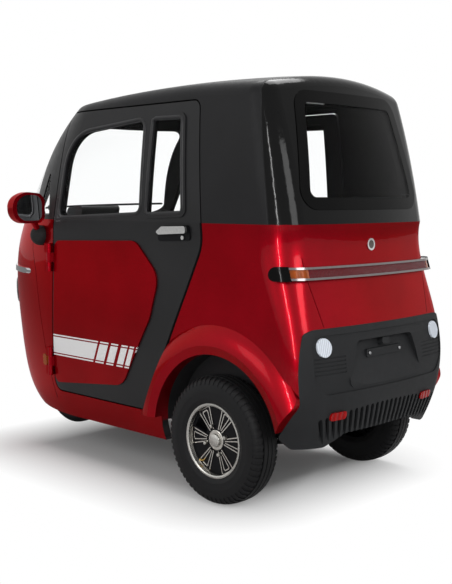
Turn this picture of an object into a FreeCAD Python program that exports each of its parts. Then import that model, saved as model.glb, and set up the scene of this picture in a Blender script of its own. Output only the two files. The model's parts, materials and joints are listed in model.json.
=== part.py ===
import FreeCAD, Part
import Sketcher
import math
import os

# Three-wheeled electric cabin microcar, in millimetres, +X forward, +Z up.
# Sizes along X are counted from the rear axle, and every piece is then set back by rear_axle_x,
# so that the origin lies on the ground under the middle of the car.

SIZES = {
    "rear_axle_x": -668,
    "wheelbase": 1510,
    "rear_track": 866,
    "rear_tyre_radius": 247.5,
    "rear_tyre_width": 130,
    "rear_rim_radius": 143,
    "front_tyre_radius": 228,
    "front_tyre_width": 96,
    "front_rim_radius": 127,
    "rim_wall": 6,
    "rim_face_depth": 22,
    "rim_disc_thickness": 14,
    "spoke_groups": 6,
    "spoke_window_inner": 46,
    "spoke_window_angle": 24,
    "fin_height": 5,
    "wheel_bore_radius": 17,
    "shaft_clearance": 0.4,
    "sill_height": 185,
    "belt_height": 1070,
    "roof_height": 1645,
    "roof_length_radius": 6600,
    "roof_cross_radius": 1800,
    "roof_crown_x": 250,
    "roof_edge_radius": 60,
    "half_width": 468,
    "nose_x": 1790,
    "tail_x": -452,
    "wall": 35,
    "shut_gap": 6,
    "glass_thickness": 6,
    "glass_inset": 8,
    "back_frame_width": 46,
    "door_front_x": 1048,
    "door_rear_x": 92,
    "door_bottom_z": 300,
    "door_top_z": 1535,
    "skin_proud": 7,
    "hinge_offset": 12,
    "hinge_radius": 11,
    "hinge_knuckle": 42,
    "arch_radius": 330,
    "arch_liner": 6,
    "arch_inner_y": 335,
    "flare_lip": 34,
    "flare_width": 116,
    "flare_proud": 32,
    "bumper_top_z": 700,
    "bumper_bottom_z": 262,
    "bumper_raise": 42,
    "bumper_proud": 5,
    "bumper_side_x": -393,
    "bumper_foot_x": -300,
    "bumper_panel_half": 404,
    "bumper_panel_sink": 4,
    "bumper_rib_count": 25,
    "bumper_rib_pitch": 30,
    "bumper_rib_depth": 9,
    "bumper_line_count": 5,
    "bumper_line_pitch": 14,
    "plate_hole_spacing": 190,
    "plate_hole_radius": 3.5,
    "plate_face_x": -430,
    "plate_tilt": 15,
    "bracket_thickness": 8,
    "plate_z": 590,
    "lamp_radius": 34,
    "rear_lamp_y": 350,
    "rear_lamp_z": 635,
    "strip_z": 897,
    "strip_height": 46,
    "strip_rim": 8,
    "strip_proud": 26,
    "strip_front_x": -276,
    "strip_lens_reach": 372,
    "strip_amber_reach": 440,
    "tail_disc_radius": 23,
    "tail_disc_z": 990,
    "rail_y": 170,
    "rail_half": 20,
    "cross_radius": 16,
    "rail_z": 215,
    "rail_rear_z": 400,
    "rail_front_x": 1170,
    "floor_thickness": 12,
    "riser_x": 530,
    "seat_pan_z": 500,
    "battery_length": 230,
    "battery_width": 280,
    "battery_height": 210,
    "battery_x": 250,
    "axle_radius": 25,
    "drum_radius": 62,
    "motor_radius": 80,
    "spring_y": 250,
    "spring_width": 45,
    "rake_angle": 20,
    "fork_offset": 30,
    "fork_leg_y": 76,
    "fork_leg_radius": 17,
    "stem_radius": 15,
    "bar_z": 1020,
    "bar_half_width": 290,
    "bar_radius": 11,
    "grip_radius": 16,
    "bulkhead_x": 1130,
    "dash_z": 1072,
    "mirror_z": 1121,
    "mirror_y": 548,
    "mirror_x": 1100,
    "mirror_depth": 74,
}

doc = FreeCAD.newDocument("Microcar")
sheet = doc.addObject("Spreadsheet::Sheet", "Sizes")
for row, (alias, value) in enumerate(SIZES.items(), start=1):
    sheet.set("A%d" % row, alias)
    sheet.set("B%d" % row, str(value))
    sheet.setAlias("B%d" % row, alias)
doc.recompute()


def size(alias):
    """A driving dimension, read from the sheet."""
    return float(sheet.get(alias))


V = FreeCAD.Vector
WALL = size("wall")
SILL = size("sill_height")
BELT = size("belt_height")
ROOF = size("roof_height")
GAP = size("shut_gap")
FAR = 900.0
FRONT_AXLE = size("wheelbase")
parts = []


def publish(obj, label):
    """Names a finished sub-part and puts it on the list of those that are written."""
    obj.Label = label
    parts.append(obj)
    return obj


def place(obj, x="0", y="0", z="0"):
    """Binds an object's place to the sheet, with X counted from the rear axle."""
    obj.setExpression("Placement.Base.x", "Sizes.rear_axle_x + " + x)
    obj.setExpression("Placement.Base.y", y)
    obj.setExpression("Placement.Base.z", z)
    return obj


def feature(label, shape):
    """A sub-part whose shape comes from lofts and cuts that follow the body's form."""
    obj = doc.addObject("Part::Feature", label)
    obj.Shape = shape
    place(obj)
    return publish(obj, label)


# Outlines: closed wires of lines with tangent arcs at the corners.

def rounded(points, radii):
    """A closed wire through points, each corner rounded by its own radius."""
    count = len(points)
    if not isinstance(radii, (list, tuple)):
        radii = [radii] * count
    spans = []
    for i, (corner, radius) in enumerate(zip(points, radii)):
        back = (points[i - 1] - corner).normalize()
        ahead = (points[(i + 1) % count] - corner).normalize()
        half = math.acos(max(-1.0, min(1.0, back.dot(ahead)))) / 2
        middle = (back + ahead).normalize()
        reach = radius / math.tan(half)
        top = corner + middle * (radius / math.sin(half) - radius)
        spans.append((corner + back * reach, top, corner + ahead * reach))
    edges = []
    for i, (start, top, end) in enumerate(spans):
        edges.append(Part.Arc(start, top, end).toShape())
        follow = spans[(i + 1) % count][0]
        if end.distanceToPoint(follow) > 0.001:
            edges.append(Part.LineSegment(end, follow).toShape())
    return Part.Wire(edges)


def side_prism(points, radii, y_from=0.0, y_to=FAR, grow=0.0):
    """An outline seen from the side, as (x, z) corners, pushed through along Y."""
    wire = rounded([V(x, y_from, z) for x, z in points], radii)
    if grow:
        wire = wire.makeOffset2D(grow)
    return Part.Face(wire).extrude(V(0, y_to - y_from, 0))


def end_prism(points, radii, x_from, x_to, grow=0.0):
    """An outline seen from the front or back, as (y, z) corners, pushed through along X."""
    wire = rounded([V(x_from, y, z) for y, z in points], radii)
    if grow:
        wire = wire.makeOffset2D(grow)
    return Part.Face(wire).extrude(V(x_to - x_from, 0, 0))


def block(x_from, x_to, y_from, y_to, z_from, z_to):
    return Part.makeBox(x_to - x_from, y_to - y_from, z_to - z_from, V(x_from, y_from, z_from))


def slice_x(shape, x_from, x_to):
    return shape.common(block(x_from, x_to, -FAR, FAR, -FAR, 2 * FAR))


def mirrored(shape):
    return shape.mirror(V(0, 0, 0), V(0, 1, 0))


def both_sides(shape):
    return Part.makeCompound([shape, mirrored(shape)])


# Body form: level outlines of straight sides, rounded corners and bowed ends, lofted in two stages.
# Columns: rise (share of the stage's height), inset of the side, setback of the nose tip,
# radius and angle of the nose corner, setback of the tail, radius and angle of the tail corner.

LOWER_SECTIONS = (
    (0.000, 38, 188, 900, 50, 72, 185, 8),
    (0.130, 13, 104, 950, 50, 26, 160, 8),
    (0.390, 0, 42, 1000, 50, -5, 106, 8),
    (0.695, 6, 6, 1000, 50, 48, 112, 8),
    (0.853, 10, 25, 1000, 50, 80, 134, 8),
    (1.000, 8, 90, 1000, 50, 81, 126, 10),
)
UPPER_SECTIONS = (
    (0.000, 8, 90, 1000, 50, 81, 126, 10),
    (0.435, 16, 322, 620, 34, 134, 112, 10),
    (0.783, 31, 645, 300, 20, 190, 92, 10),
    (1.130, 53, 1140, 200, 14, 262, 80, 10),
)


def end_arcs(half_width, tip_x, radius, angle, sign):
    """Corner start, corner middle and joint of a bowed end: sign is 1 at the nose, -1 at the tail."""
    turn = math.radians(angle)
    bow = (half_width - radius) / math.sin(turn) + radius
    centre = tip_x - sign * bow
    start = centre + sign * (bow - radius) * math.cos(turn)
    joint = (centre + sign * bow * math.cos(turn), bow * math.sin(turn))
    half = math.radians((90 + angle) / 2)
    middle = (start + sign * radius * math.cos(half), half_width - radius + radius * math.sin(half))
    return start, middle, joint


def level_outline(z, half_width, nose, nose_radius, nose_angle, tail, tail_radius, tail_angle):
    """One level outline of the body: two sides, four corner arcs and two bowed ends."""
    front, front_mid, front_joint = end_arcs(half_width, nose, nose_radius, nose_angle, 1)
    rear, rear_mid, rear_joint = end_arcs(half_width, tail, tail_radius, tail_angle, -1)

    def at(x, y):
        return V(x, y, z)

    return Part.Wire([
        Part.LineSegment(at(rear, half_width), at(front, half_width)).toShape(),
        Part.Arc(at(front, half_width), at(*front_mid), at(*front_joint)).toShape(),
        Part.Arc(at(*front_joint), at(nose, 0), at(front_joint[0], -front_joint[1])).toShape(),
        Part.Arc(at(front_joint[0], -front_joint[1]), at(front_mid[0], -front_mid[1]),
                 at(front, -half_width)).toShape(),
        Part.LineSegment(at(front, -half_width), at(rear, -half_width)).toShape(),
        Part.Arc(at(rear, -half_width), at(rear_mid[0], -rear_mid[1]),
                 at(rear_joint[0], -rear_joint[1])).toShape(),
        Part.Arc(at(rear_joint[0], -rear_joint[1]), at(tail, 0), at(*rear_joint)).toShape(),
        Part.Arc(at(*rear_joint), at(*rear_mid), at(rear, half_width)).toShape(),
    ])


def stage_loft(sections, z_from, z_to, inset):
    """The solid inside one stage of the body, its outlines moved inwards by inset."""
    wires = []
    for rise, side, nose_back, nose_r, nose_a, tail_back, tail_r, tail_a in sections:
        wires.append(level_outline(
            z_from + rise * (z_to - z_from),
            size("half_width") - side - inset,
            size("nose_x") - nose_back - inset, nose_r - inset, nose_a,
            size("tail_x") + tail_back + inset, tail_r - inset, tail_a))
    return Part.makeLoft(wires, True, False)


def roof_solid(inset):
    """Everything under the crowned roof surface, inset below it."""
    length_radius = size("roof_length_radius")
    cross_radius = size("roof_cross_radius") - inset
    crown_x = size("roof_crown_x")
    crown = ROOF - inset
    base = BELT - FAR / 4
    edge_z = crown - (cross_radius - math.sqrt(cross_radius ** 2 - FAR ** 2))
    spots = (-FAR, base), (-FAR, edge_z), (FAR, edge_z), (FAR, base)
    corners = [V(crown_x, y, z) for y, z in spots]
    section = Part.Wire([
        Part.LineSegment(corners[0], corners[1]).toShape(),
        Part.Arc(corners[1], V(crown_x, 0, crown), corners[2]).toShape(),
        Part.LineSegment(corners[2], corners[3]).toShape(),
        Part.LineSegment(corners[3], corners[0]).toShape(),
    ])
    face = Part.Face(section)
    centre = V(crown_x, 0, ROOF - length_radius)
    sweep = math.degrees(1.4 * size("nose_x") / length_radius)
    face.rotate(centre, V(0, 1, 0), -sweep)
    return face.revolve(centre, V(0, 1, 0), 2 * sweep)


form_cache = {}


def lower_form(inset=0.0):
    """Solid below the belt line, inset from the painted surface (negative stands proud)."""
    key = ("lower", inset)
    if key not in form_cache:
        form_cache[key] = stage_loft(LOWER_SECTIONS, SILL, BELT, inset)
    return form_cache[key]


def upper_form(inset=0.0):
    """Solid from the belt line up, without its roof."""
    key = ("upper", inset)
    if key not in form_cache:
        form_cache[key] = stage_loft(UPPER_SECTIONS, BELT, ROOF, inset)
    return form_cache[key]


def cabin_form(inset=0.0):
    """Solid from the belt line up under the roof, its roof edge rounded."""
    key = ("cabin", inset)
    if key not in form_cache:
        solid = upper_form(inset).common(roof_solid(inset))
        top = max(solid.Faces, key=lambda face: face.CenterOfMass.z)
        form_cache[key] = solid.makeFillet(size("roof_edge_radius") - inset / 2, top.Edges)
    return form_cache[key]


def lower_skin(outer, inner):
    return lower_form(outer).cut(lower_form(inner))


def upper_skin(outer, inner):
    return upper_form(outer).cut(upper_form(inner))


# Openings, by name, each as corners and corner radii.

def door_outline():
    front, rear = size("door_front_x"), size("door_rear_x")
    bottom, top = size("door_bottom_z"), size("door_top_z")
    points = [
        (front, bottom), (front, BELT - 30), (front - 92, top), (rear + 25, top),
        (rear - 7, BELT - 85), (rear + 318, bottom),
    ]
    return points, [45, 200, 28, 32, 160, 45]


def front_window_outline():
    front = size("door_front_x")
    points = [
        (front - 50, BELT + 15), (front - 122, BELT + 367),
        (front - 615, BELT + 407), (front - 598, BELT + 38),
    ]
    return points, [22, 190, 28, 28]


def rear_window_outline():
    """The quarter window of the door, to the outside of its rubber."""
    rear = size("door_rear_x")
    points = [
        (rear + 330, BELT + 12), (rear + 300, BELT + 428),
        (rear + 95, BELT + 424), (rear + 78, BELT + 22),
    ]
    return points, [30, 26, 30, 34]


def skin_outline():
    """The red panel that stands on the door."""
    front, rear, bottom = size("door_front_x"), size("door_rear_x"), size("door_bottom_z")
    points = [
        (front - 12, bottom + 34), (front - 14, BELT - 94), (rear + 380, BELT - 78),
        (rear + 235, BELT - 215), (rear + 285, BELT - 390), (rear + 460, bottom + 84),
    ]
    return points, [30, 40, 70, 90, 120, 90]


def front_quarter_outline():
    front = size("door_front_x")
    return [(front + 166, BELT + 20), (front + 42, BELT + 20), (front + 52, BELT + 232)], [8, 8, 10]


def windscreen_outline():
    low, high = BELT + 16, BELT + 430
    return [(-404, low), (404, low), (352, high), (-352, high)], 45


def back_window_outline():
    low, high = BELT + 98, BELT + 446
    return [(-316, low), (316, low), (260, high), (-260, high)], 26


def bumper_side_tool():
    """Everything behind the line where the bumper ends at the sides."""
    top, bottom = size("bumper_top_z"), size("bumper_bottom_z")
    edge, foot = size("bumper_side_x"), size("bumper_foot_x")
    outline = [(-FAR, bottom), (foot - 30, bottom), (foot, bottom + 42), (edge, bottom + 170),
               (edge, top + 60), (-FAR, top + 60)]
    return side_prism(outline, [5, 14, 12, 60, 5, 5], -FAR, FAR)


def bumper_tool():
    """The space that the bumper fills, with its lower edge raised between two feet."""
    top, bottom, raised = size("bumper_top_z"), size("bumper_bottom_z"), size("bumper_raise")
    reach = size("half_width") + size("bumper_proud")
    outline = [(-reach, bottom), (-310, bottom), (-215, bottom + raised), (215, bottom + raised),
               (310, bottom), (reach, bottom), (reach, top), (-reach, top)]
    behind = end_prism(outline, [5, 40, 60, 60, 40, 5, 100, 100], -FAR, 0)
    return behind.common(bumper_side_tool())


def arch_cylinder(radius, y_from, y_to):
    return Part.makeCylinder(radius, y_to - y_from, V(0, y_from, size("rear_tyre_radius")), V(0, 1, 0))


def front_wheel_slot():
    """The opening in the nose that lets the steered wheel turn."""
    high = 2 * size("front_tyre_radius") + 55
    wide = 0.5 * size("front_tyre_width") + 165
    return end_prism([(-wide, SILL - 50), (wide, SILL - 50), (wide - 40, high), (-wide + 40, high)],
                     [5, 5, 90, 90], FRONT_AXLE, size("nose_x") + 50)


# Body panels.

def door_openings():
    points, radii = door_outline()
    return both_sides(side_prism(points, radii, grow=GAP))


def flare():
    """The fender round the rear arch: a leaning lip, a crease, and a bulge that fades into the side."""
    centre = V(0, 0, size("rear_tyre_radius"))
    inner = size("arch_radius")
    crease = inner + size("flare_lip")
    outer = inner + size("flare_width")
    side = size("half_width")
    lip = side + size("flare_proud")
    root = side - WALL + 5
    profile = Part.Wire([
        Part.LineSegment(V(inner, root, 0), V(inner, lip - 12, 0)).toShape(),
        Part.LineSegment(V(inner, lip - 12, 0), V(crease, lip, 0)).toShape(),
        Part.Arc(V(crease, lip, 0), V((crease + outer) / 2, lip - 11, 0), V(outer, side - 9, 0)).toShape(),
        Part.LineSegment(V(outer, side - 9, 0), V(outer, root, 0)).toShape(),
        Part.LineSegment(V(outer, root, 0), V(inner, root, 0)).toShape(),
    ])
    ring = Part.Face(profile).revolve(V(0, 0, 0), V(0, 1, 0), 360)
    ring.translate(centre)
    lowest = size("door_bottom_z") - 14
    return ring.common(block(-FAR, FAR, 0, FAR, lowest, FAR))


def body_side_walls():
    """Everything painted red below the belt, before it is parted."""
    walls = lower_skin(0, WALL).cut(door_openings())
    radius = size("arch_radius")
    for y_from in (size("arch_inner_y") - 60, -FAR):
        walls = walls.cut(arch_cylinder(radius, y_from, y_from + FAR - size("arch_inner_y") + 60))
    return walls


def seam_band(points, half):
    """Corners of a narrow band along a line of points."""
    ahead = [(x + half, z) for x, z in points]
    behind = [(x - half, z) for x, z in reversed(points)]
    return ahead + behind


def nose_seams():
    """The joint between nose and front wing, a groove from the belt to the sill at each side."""
    line = [(1266, BELT + 20), (1246, 925), (1207, 833), (1165, 650), (1122, 492), (1050, 240)]
    groove = lower_skin(-1, 3).common(side_prism(seam_band(line, 2), 0.8))
    return both_sides(groove)


def tail_seams():
    """The joints of the tail panel, a groove at each side that leans in towards the bumper."""
    line = [(372, 950), (366, 880), (330, 705)]
    groove = lower_skin(-1, 3).common(end_prism(seam_band(line, 1.5), 0.6, -FAR, 0))
    return both_sides(groove)


def make_body_panels():
    walls = body_side_walls()
    front_joint = size("door_front_x") + GAP
    rear_joint = size("door_rear_x") + 340
    sill_top = size("door_bottom_z") + 60
    sill_space = block(rear_joint, front_joint, -FAR, FAR, 0, sill_top)
    nose = slice_x(walls, front_joint - 200, 2 * FAR + 200).cut(sill_space).cut(front_wheel_slot())
    feature("nose_shell", nose.cut(nose_seams()))
    feature("sills", walls.common(sill_space).cut(both_sides(flare())))
    low = size("door_bottom_z") - 14
    rear = slice_x(walls, -FAR, rear_joint)
    rear = rear.cut(block(-FAR, -size("arch_radius") / 2, -FAR, FAR, 0, low))
    rear = rear.cut(block(-FAR, size("bumper_foot_x"), -400, 400, 0, low + 40))
    lip = flare().cut(door_openings()).cut(bumper_side_tool())
    rear = rear.fuse([lip, mirrored(lip)]).cut(bumper_tool()).cut(tail_seams())
    feature("rear_body", rear.removeSplitter())


def make_roof_shell():
    shell = cabin_form(0).cut(cabin_form(WALL))
    openings = [door_openings()]
    openings.append(end_prism(*windscreen_outline(), FRONT_AXLE - 700, FRONT_AXLE + 400))
    openings.append(both_sides(side_prism(*front_quarter_outline())))
    openings.append(end_prism(*back_window_outline(), -FAR, 0, grow=size("back_frame_width")))
    for tool in openings:
        shell = shell.cut(tool)
    feature("roof_shell", shell)


def make_glass():
    thick = size("glass_thickness")
    screen = end_prism(*windscreen_outline(), FRONT_AXLE - 700, FRONT_AXLE + 400)
    feature("windscreen", upper_skin(1, 1 + thick).common(screen))
    quarter = upper_skin(3, 3 + thick).common(side_prism(*front_quarter_outline()))
    feature("front_quarter_glass", both_sides(quarter))
    opening = end_prism(*back_window_outline(), -FAR, 0)
    frame = end_prism(*back_window_outline(), -FAR, 0, grow=size("back_frame_width")).cut(opening)
    feature("rear_window_surround", upper_skin(-3, WALL).common(frame))
    feature("rear_window", upper_skin(-2, -2 + thick).common(opening))


def plate_frame(shape):
    """Leans a shape made upright on the plate's middle back to the recess."""
    shape.rotate(V(size("plate_face_x"), 0, size("plate_z")), V(0, 1, 0), size("plate_tilt"))
    return shape


def tail_face(y, z):
    """X of the body's rear face at a place across and up."""
    line = Part.LineSegment(V(-FAR, y, z), V(0, y, z)).toShape()
    return line.common(lower_form()).BoundBox.XMin


def upright_slot(y, x, low, top):
    """A tapered slot in the lower half, leaning outwards as it falls."""
    wide, lean = size("bumper_rib_pitch") / 3.4, 0.12 * y
    spots = [(y - wide - lean, low), (y + wide - lean, low), (y + wide, top - 8), (y + wide / 2, top),
             (y - wide / 2, top), (y - wide, top - 8)]
    corners = [V(x, across, up) for across, up in spots]
    return Part.Face(Part.makePolygon(corners + corners[:1])).extrude(V(-2 * WALL, 0, 0))


def level_line(side, z):
    """A narrow groove beside the recess, as deep all the way along the curve of the panel."""
    sunk = size("bumper_panel_sink") - size("bumper_proud") + 2
    inside = []
    for y in (244, 300, 345, 372, size("bumper_panel_half") - 6):
        inside.append(V(tail_face(y, z) + sunk, side * y, z))
    corners = inside + [corner - V(2 * WALL, 0, 0) for corner in reversed(inside)]
    tall = size("bumper_line_pitch") / 2.4
    return Part.Face(Part.makePolygon(corners + corners[:1])).extrude(V(0, 0, tall))


# Tops of the upright slots: their height in the middle, and how fast it falls to the sides.
SLOT_TOP_Z = 402
SLOT_TOP_FALL = 0.0002


def bumper_slots():
    """Upright slots along the lower half, their tops on a shallow curve; level ones by the recess."""
    low = size("bumper_bottom_z") - 20
    half_count = (int(size("bumper_rib_count")) - 1) // 2
    slots = []
    for i in range(-half_count, half_count + 1):
        y = i * size("bumper_rib_pitch")
        back = tail_face(y, 340) + size("bumper_rib_depth")
        slots.append(upright_slot(y, back, low, SLOT_TOP_Z - SLOT_TOP_FALL * y * y))
    for i in range(int(size("bumper_line_count"))):
        for side in (-1, 1):
            slots.append(level_line(side, 537 + i * size("bumper_line_pitch")))
    return Part.makeCompound(slots)


def make_bumper():
    proud = size("bumper_proud")
    shell = lower_form(-proud).common(bumper_tool()).cut(lower_form(WALL - 5))
    wide = size("bumper_panel_half")
    outline = [(50 - wide, 464), (wide - 50, 464), (wide, 530), (wide, 676), (-wide, 676), (-wide, 530)]
    panel = end_prism(outline, [50, 50, 40, 45, 45, 40], -FAR, 0)
    sunk = panel.cut(lower_form(size("bumper_panel_sink") - proud))
    face, middle = size("plate_face_x"), size("plate_z")
    recess = [(-228, middle - 108), (228, middle - 108), (172, middle + 50), (-172, middle + 50)]
    hollow = plate_frame(end_prism(recess, [20, 20, 22, 22], face - 200, face))
    pan = plate_frame(end_prism(recess, [20, 20, 22, 22], face, face + 22, grow=8))
    pan = pan.common(lower_form(-proud))
    bumper = shell.cut(sunk).cut(bumper_slots()).cut(hollow).fuse(pan)
    bores = []
    for y in (-size("plate_hole_spacing") / 2, size("plate_hole_spacing") / 2):
        start = V(face - 15, y, middle)
        bores.append(Part.makeCylinder(size("plate_hole_radius"), 90, start, V(1, 0, 0)))
    for y in (-size("rear_lamp_y"), size("rear_lamp_y")):
        seat = Part.makeCylinder(size("lamp_radius"), FAR, V(0, y, size("rear_lamp_z")), V(-1, 0, 0))
        bores.append(seat.cut(lower_form(12)))
    feature("bumper", bumper.cut(bores).removeSplitter())


def make_rear_lights():
    lamps = []
    for y in (-size("rear_lamp_y"), size("rear_lamp_y")):
        middle = V(0, y, size("rear_lamp_z"))
        tube = Part.makeCylinder(size("lamp_radius") - 0.3, FAR, middle, V(-1, 0, 0))
        lamps.append(tube.common(lower_skin(-size("bumper_proud") - 4, 12)))
    feature("rear_lamps", Part.makeCompound(lamps))
    oblong = [(240, 365), (320, 365), (320, 395), (240, 395)]
    proud = size("bumper_proud")
    pad = lower_skin(-proud - 7, -proud).common(end_prism(oblong, 12, -FAR, 0))
    feature("reflectors", both_sides(pad))


def strip_band(low, high, outer, inner):
    """A level band round the tail, its ends at the sides rounded."""
    front, round_end = size("strip_front_x"), (high - low) / 2 - 0.5
    outline = [(-FAR, low), (front, low), (front, high), (-FAR, high)]
    tool = side_prism(outline, [1, round_end, round_end, 1], -FAR, FAR)
    return lower_skin(outer, inner).common(tool)


def make_light_strip():
    """The lamp bar across the back: lens in the middle, amber ends, caps and rims round them."""
    half, rim = size("strip_height") / 2, size("strip_rim")
    low, high = size("strip_z") - half, size("strip_z") + half
    proud = size("strip_proud")
    lens_reach, amber_reach = size("strip_lens_reach"), size("strip_amber_reach")
    between = block(-FAR, 0, -amber_reach, amber_reach, 0, BELT)
    band = strip_band(low + rim, high - rim, 5 - proud, 0)
    feature("light_strip_lens", band.common(block(-FAR, 0, -lens_reach, lens_reach, 0, BELT)))
    end = band.common(block(-FAR, 0, lens_reach, amber_reach, 0, BELT))
    whole = strip_band(low, high, -proud, 0)
    rims = whole.common(between).cut(block(-FAR, 0, -FAR, FAR, low + rim, high - rim))
    feature("light_strip_trim", rims)
    feature("light_strip_caps", strip_band(low - 3, high + 3, -proud - 4, 0).cut(between))
    small = [(1090, 404), (1122, 404), (1122, 456), (1090, 456)]
    front = lower_skin(-16, 0).common(side_prism(small, 12))
    amber = Part.makeCompound([end, mirrored(end), front, mirrored(front)])
    feature("amber_lenses", amber)
    disc = Part.makeCylinder(size("tail_disc_radius"), FAR, V(0, 0, size("tail_disc_z")), V(-1, 0, 0))
    feature("tail_disc", lower_skin(-4, 0).common(disc))


def make_plate_bracket():
    """A wedge in the leaning recess, upright behind, with two plate holes, and the lamp hood above it."""
    face, middle = size("plate_face_x"), size("plate_z")
    half = size("plate_hole_spacing") / 2
    back = face - size("bracket_thickness")
    wide = half + 16
    bar = [(-wide, middle - 15), (wide, middle - 15), (wide, middle + 15), (-wide, middle + 15)]
    behind_pan = plate_frame(block(face, face + 60, -FAR, FAR, middle - 60, middle + 60))
    wedge = end_prism(bar, 8, back, face + 10).cut(behind_pan)
    for y in (-half, half):
        start = V(back - 10, y, middle)
        wedge = wedge.cut(Part.makeCylinder(size("plate_hole_radius"), 40, start, V(1, 0, 0)))
    hood = end_prism([(-26, middle + 22), (26, middle + 22), (20, middle + 46), (-20, middle + 46)], 9,
                     face - 24, face)
    feature("plate_bracket", Part.makeCompound([wedge, plate_frame(hood)]))


HEADLAMP_RADIUS = 62
HEADLAMP_Y = 235
HEADLAMP_Z = 700


def make_front_details():
    nose = size("nose_x")
    lamp = Part.makeCylinder(HEADLAMP_RADIUS, FAR, V(nose - 500, HEADLAMP_Y, HEADLAMP_Z), V(1, 0, 0))
    feature("headlamps", both_sides(lower_skin(-7, 0).common(lamp)))
    bar = [(-434, 812), (434, 812), (434, 838), (-434, 838)]
    feature("nose_trim", lower_skin(-8, 0).common(end_prism(bar, 10, FRONT_AXLE - 400, nose + 50)))


def make_wiper():
    """Parked along the foot of the windscreen, pivoted right of the middle."""
    arm = [(-20, BELT + 44), (18, BELT + 30), (40, BELT + 50), (30, BELT + 66)]
    blade = [(-395, BELT + 62), (60, BELT + 40), (62, BELT + 50), (-393, BELT + 72)]
    reach = FRONT_AXLE - 300, size("nose_x") + 50
    on_glass = upper_skin(-9, 0.7).common(end_prism(blade, 3, *reach))
    pivot = upper_skin(-22, 0.7).common(end_prism(arm, 6, *reach))
    feature("wiper", on_glass.fuse(pivot).removeSplitter())


# Doors, one at each side, hung on their front edge.

def hinge_line():
    """Place of the hinge pins: outside the panel, in the shut gap."""
    return V(size("door_front_x") + GAP / 2, size("half_width") + size("hinge_offset"), 0)


HINGE_HEIGHTS = (430, 900)


def hinge_parts():
    """Knuckles of the two hinges, as (fixed, moving) solids on the left side."""
    pin = hinge_line()
    radius, knuckle = size("hinge_radius"), size("hinge_knuckle")
    fixed, moving = [], []
    depth = size("hinge_offset") + 26
    for z in HINGE_HEIGHTS:
        for step in (-1, 0, 1):
            low = z + step * knuckle - knuckle / 2 + 0.3
            tall = knuckle - 0.6
            barrel = Part.makeCylinder(radius, tall, V(pin.x, pin.y, low))
            ahead = step != 0
            start, reach = (pin.x, 36) if ahead else (pin.x - 14, 14)
            leaf = Part.makeBox(reach, depth, tall, V(start, pin.y - depth, low))
            leaf = leaf.cut(lower_form(0)).common(block(0, 2 * FAR, 0, pin.y + 2, 0, BELT))
            piece = barrel.fuse(leaf).removeSplitter()
            (fixed if ahead else moving).append(piece)
    return fixed, moving


def door_frame():
    """The black door with its belt, pillars, rubber ring and hinge leaves."""
    prism = side_prism(*door_outline())
    window = side_prism(*front_window_outline())
    points, radii = rear_window_outline()
    quarter = side_prism(points, radii)
    upper = cabin_form(0).cut(cabin_form(WALL)).common(prism).cut(window).cut(quarter)
    lower = lower_skin(0, WALL).common(prism)
    rubber = quarter.cut(side_prism(points, [r - 12 for r in radii], grow=-24))
    rubber = upper_skin(-5, 20).common(rubber)
    return upper.fuse([lower, rubber, door_bead()] + hinge_parts()[1]).removeSplitter()


def door_bead():
    """The raised edge along the rear of the door, below the belt."""
    points, radii = door_outline()
    ring = side_prism(points, radii).cut(side_prism(points, [r - 14 for r in radii], grow=-16))
    keep = block(-FAR, size("door_rear_x") + 330, 0, FAR, size("door_bottom_z") + 34, BELT)
    return lower_skin(-6, 4).common(ring).common(keep)


def door_glass():
    inset, thick = size("glass_inset"), size("glass_thickness")
    front = upper_skin(inset, inset + thick).common(side_prism(*front_window_outline()))
    points, radii = rear_window_outline()
    rear = upper_skin(inset, inset + thick).common(side_prism(points, [r - 12 for r in radii], grow=-24))
    return Part.makeCompound([front, rear])


def door_handle():
    """A cup plate with a lever that stands off it on its front foot, and the lock below."""
    rear = size("door_rear_x")
    z = BELT - 44
    plate = [(rear + 52, z - 24), (rear + 240, z - 32), (rear + 240, z + 8), (rear + 200, z + 30),
             (rear + 60, z + 36)]
    lever = [(rear + 58, z + 4), (rear + 214, z - 4), (rear + 230, z + 6), (rear + 196, z + 28),
             (rear + 62, z + 32)]
    foot = [(rear + 180, z - 2), (rear + 214, z - 3), (rear + 194, z + 22), (rear + 180, z + 22)]
    solid = lower_skin(-5, 0).common(side_prism(plate, [14, 14, 14, 16, 14]))
    solid = solid.fuse(lower_skin(-26, -15).common(side_prism(lever, [8, 6, 4, 10, 8])))
    lock = Part.makeCylinder(8, FAR, V(rear + 92, 0, z - 14), V(0, 1, 0)).common(lower_skin(-11, -3))
    foot_solid = lower_skin(-17, -3).common(side_prism(foot, 4))
    return solid.fuse([foot_solid, lock]).removeSplitter()


def make_doors():
    pieces = {
        "door_frame": door_frame(),
        "door_skin": lower_skin(-size("skin_proud"), 0).common(side_prism(*skin_outline())),
        "door_glass": door_glass(),
        "door_handle": door_handle(),
    }
    for name, shape in pieces.items():
        feature(name + "_left", shape)
        feature(name + "_right", mirrored(shape))
    fixed = Part.makeCompound(hinge_parts()[0])
    feature("door_hinges", both_sides(fixed))


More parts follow.
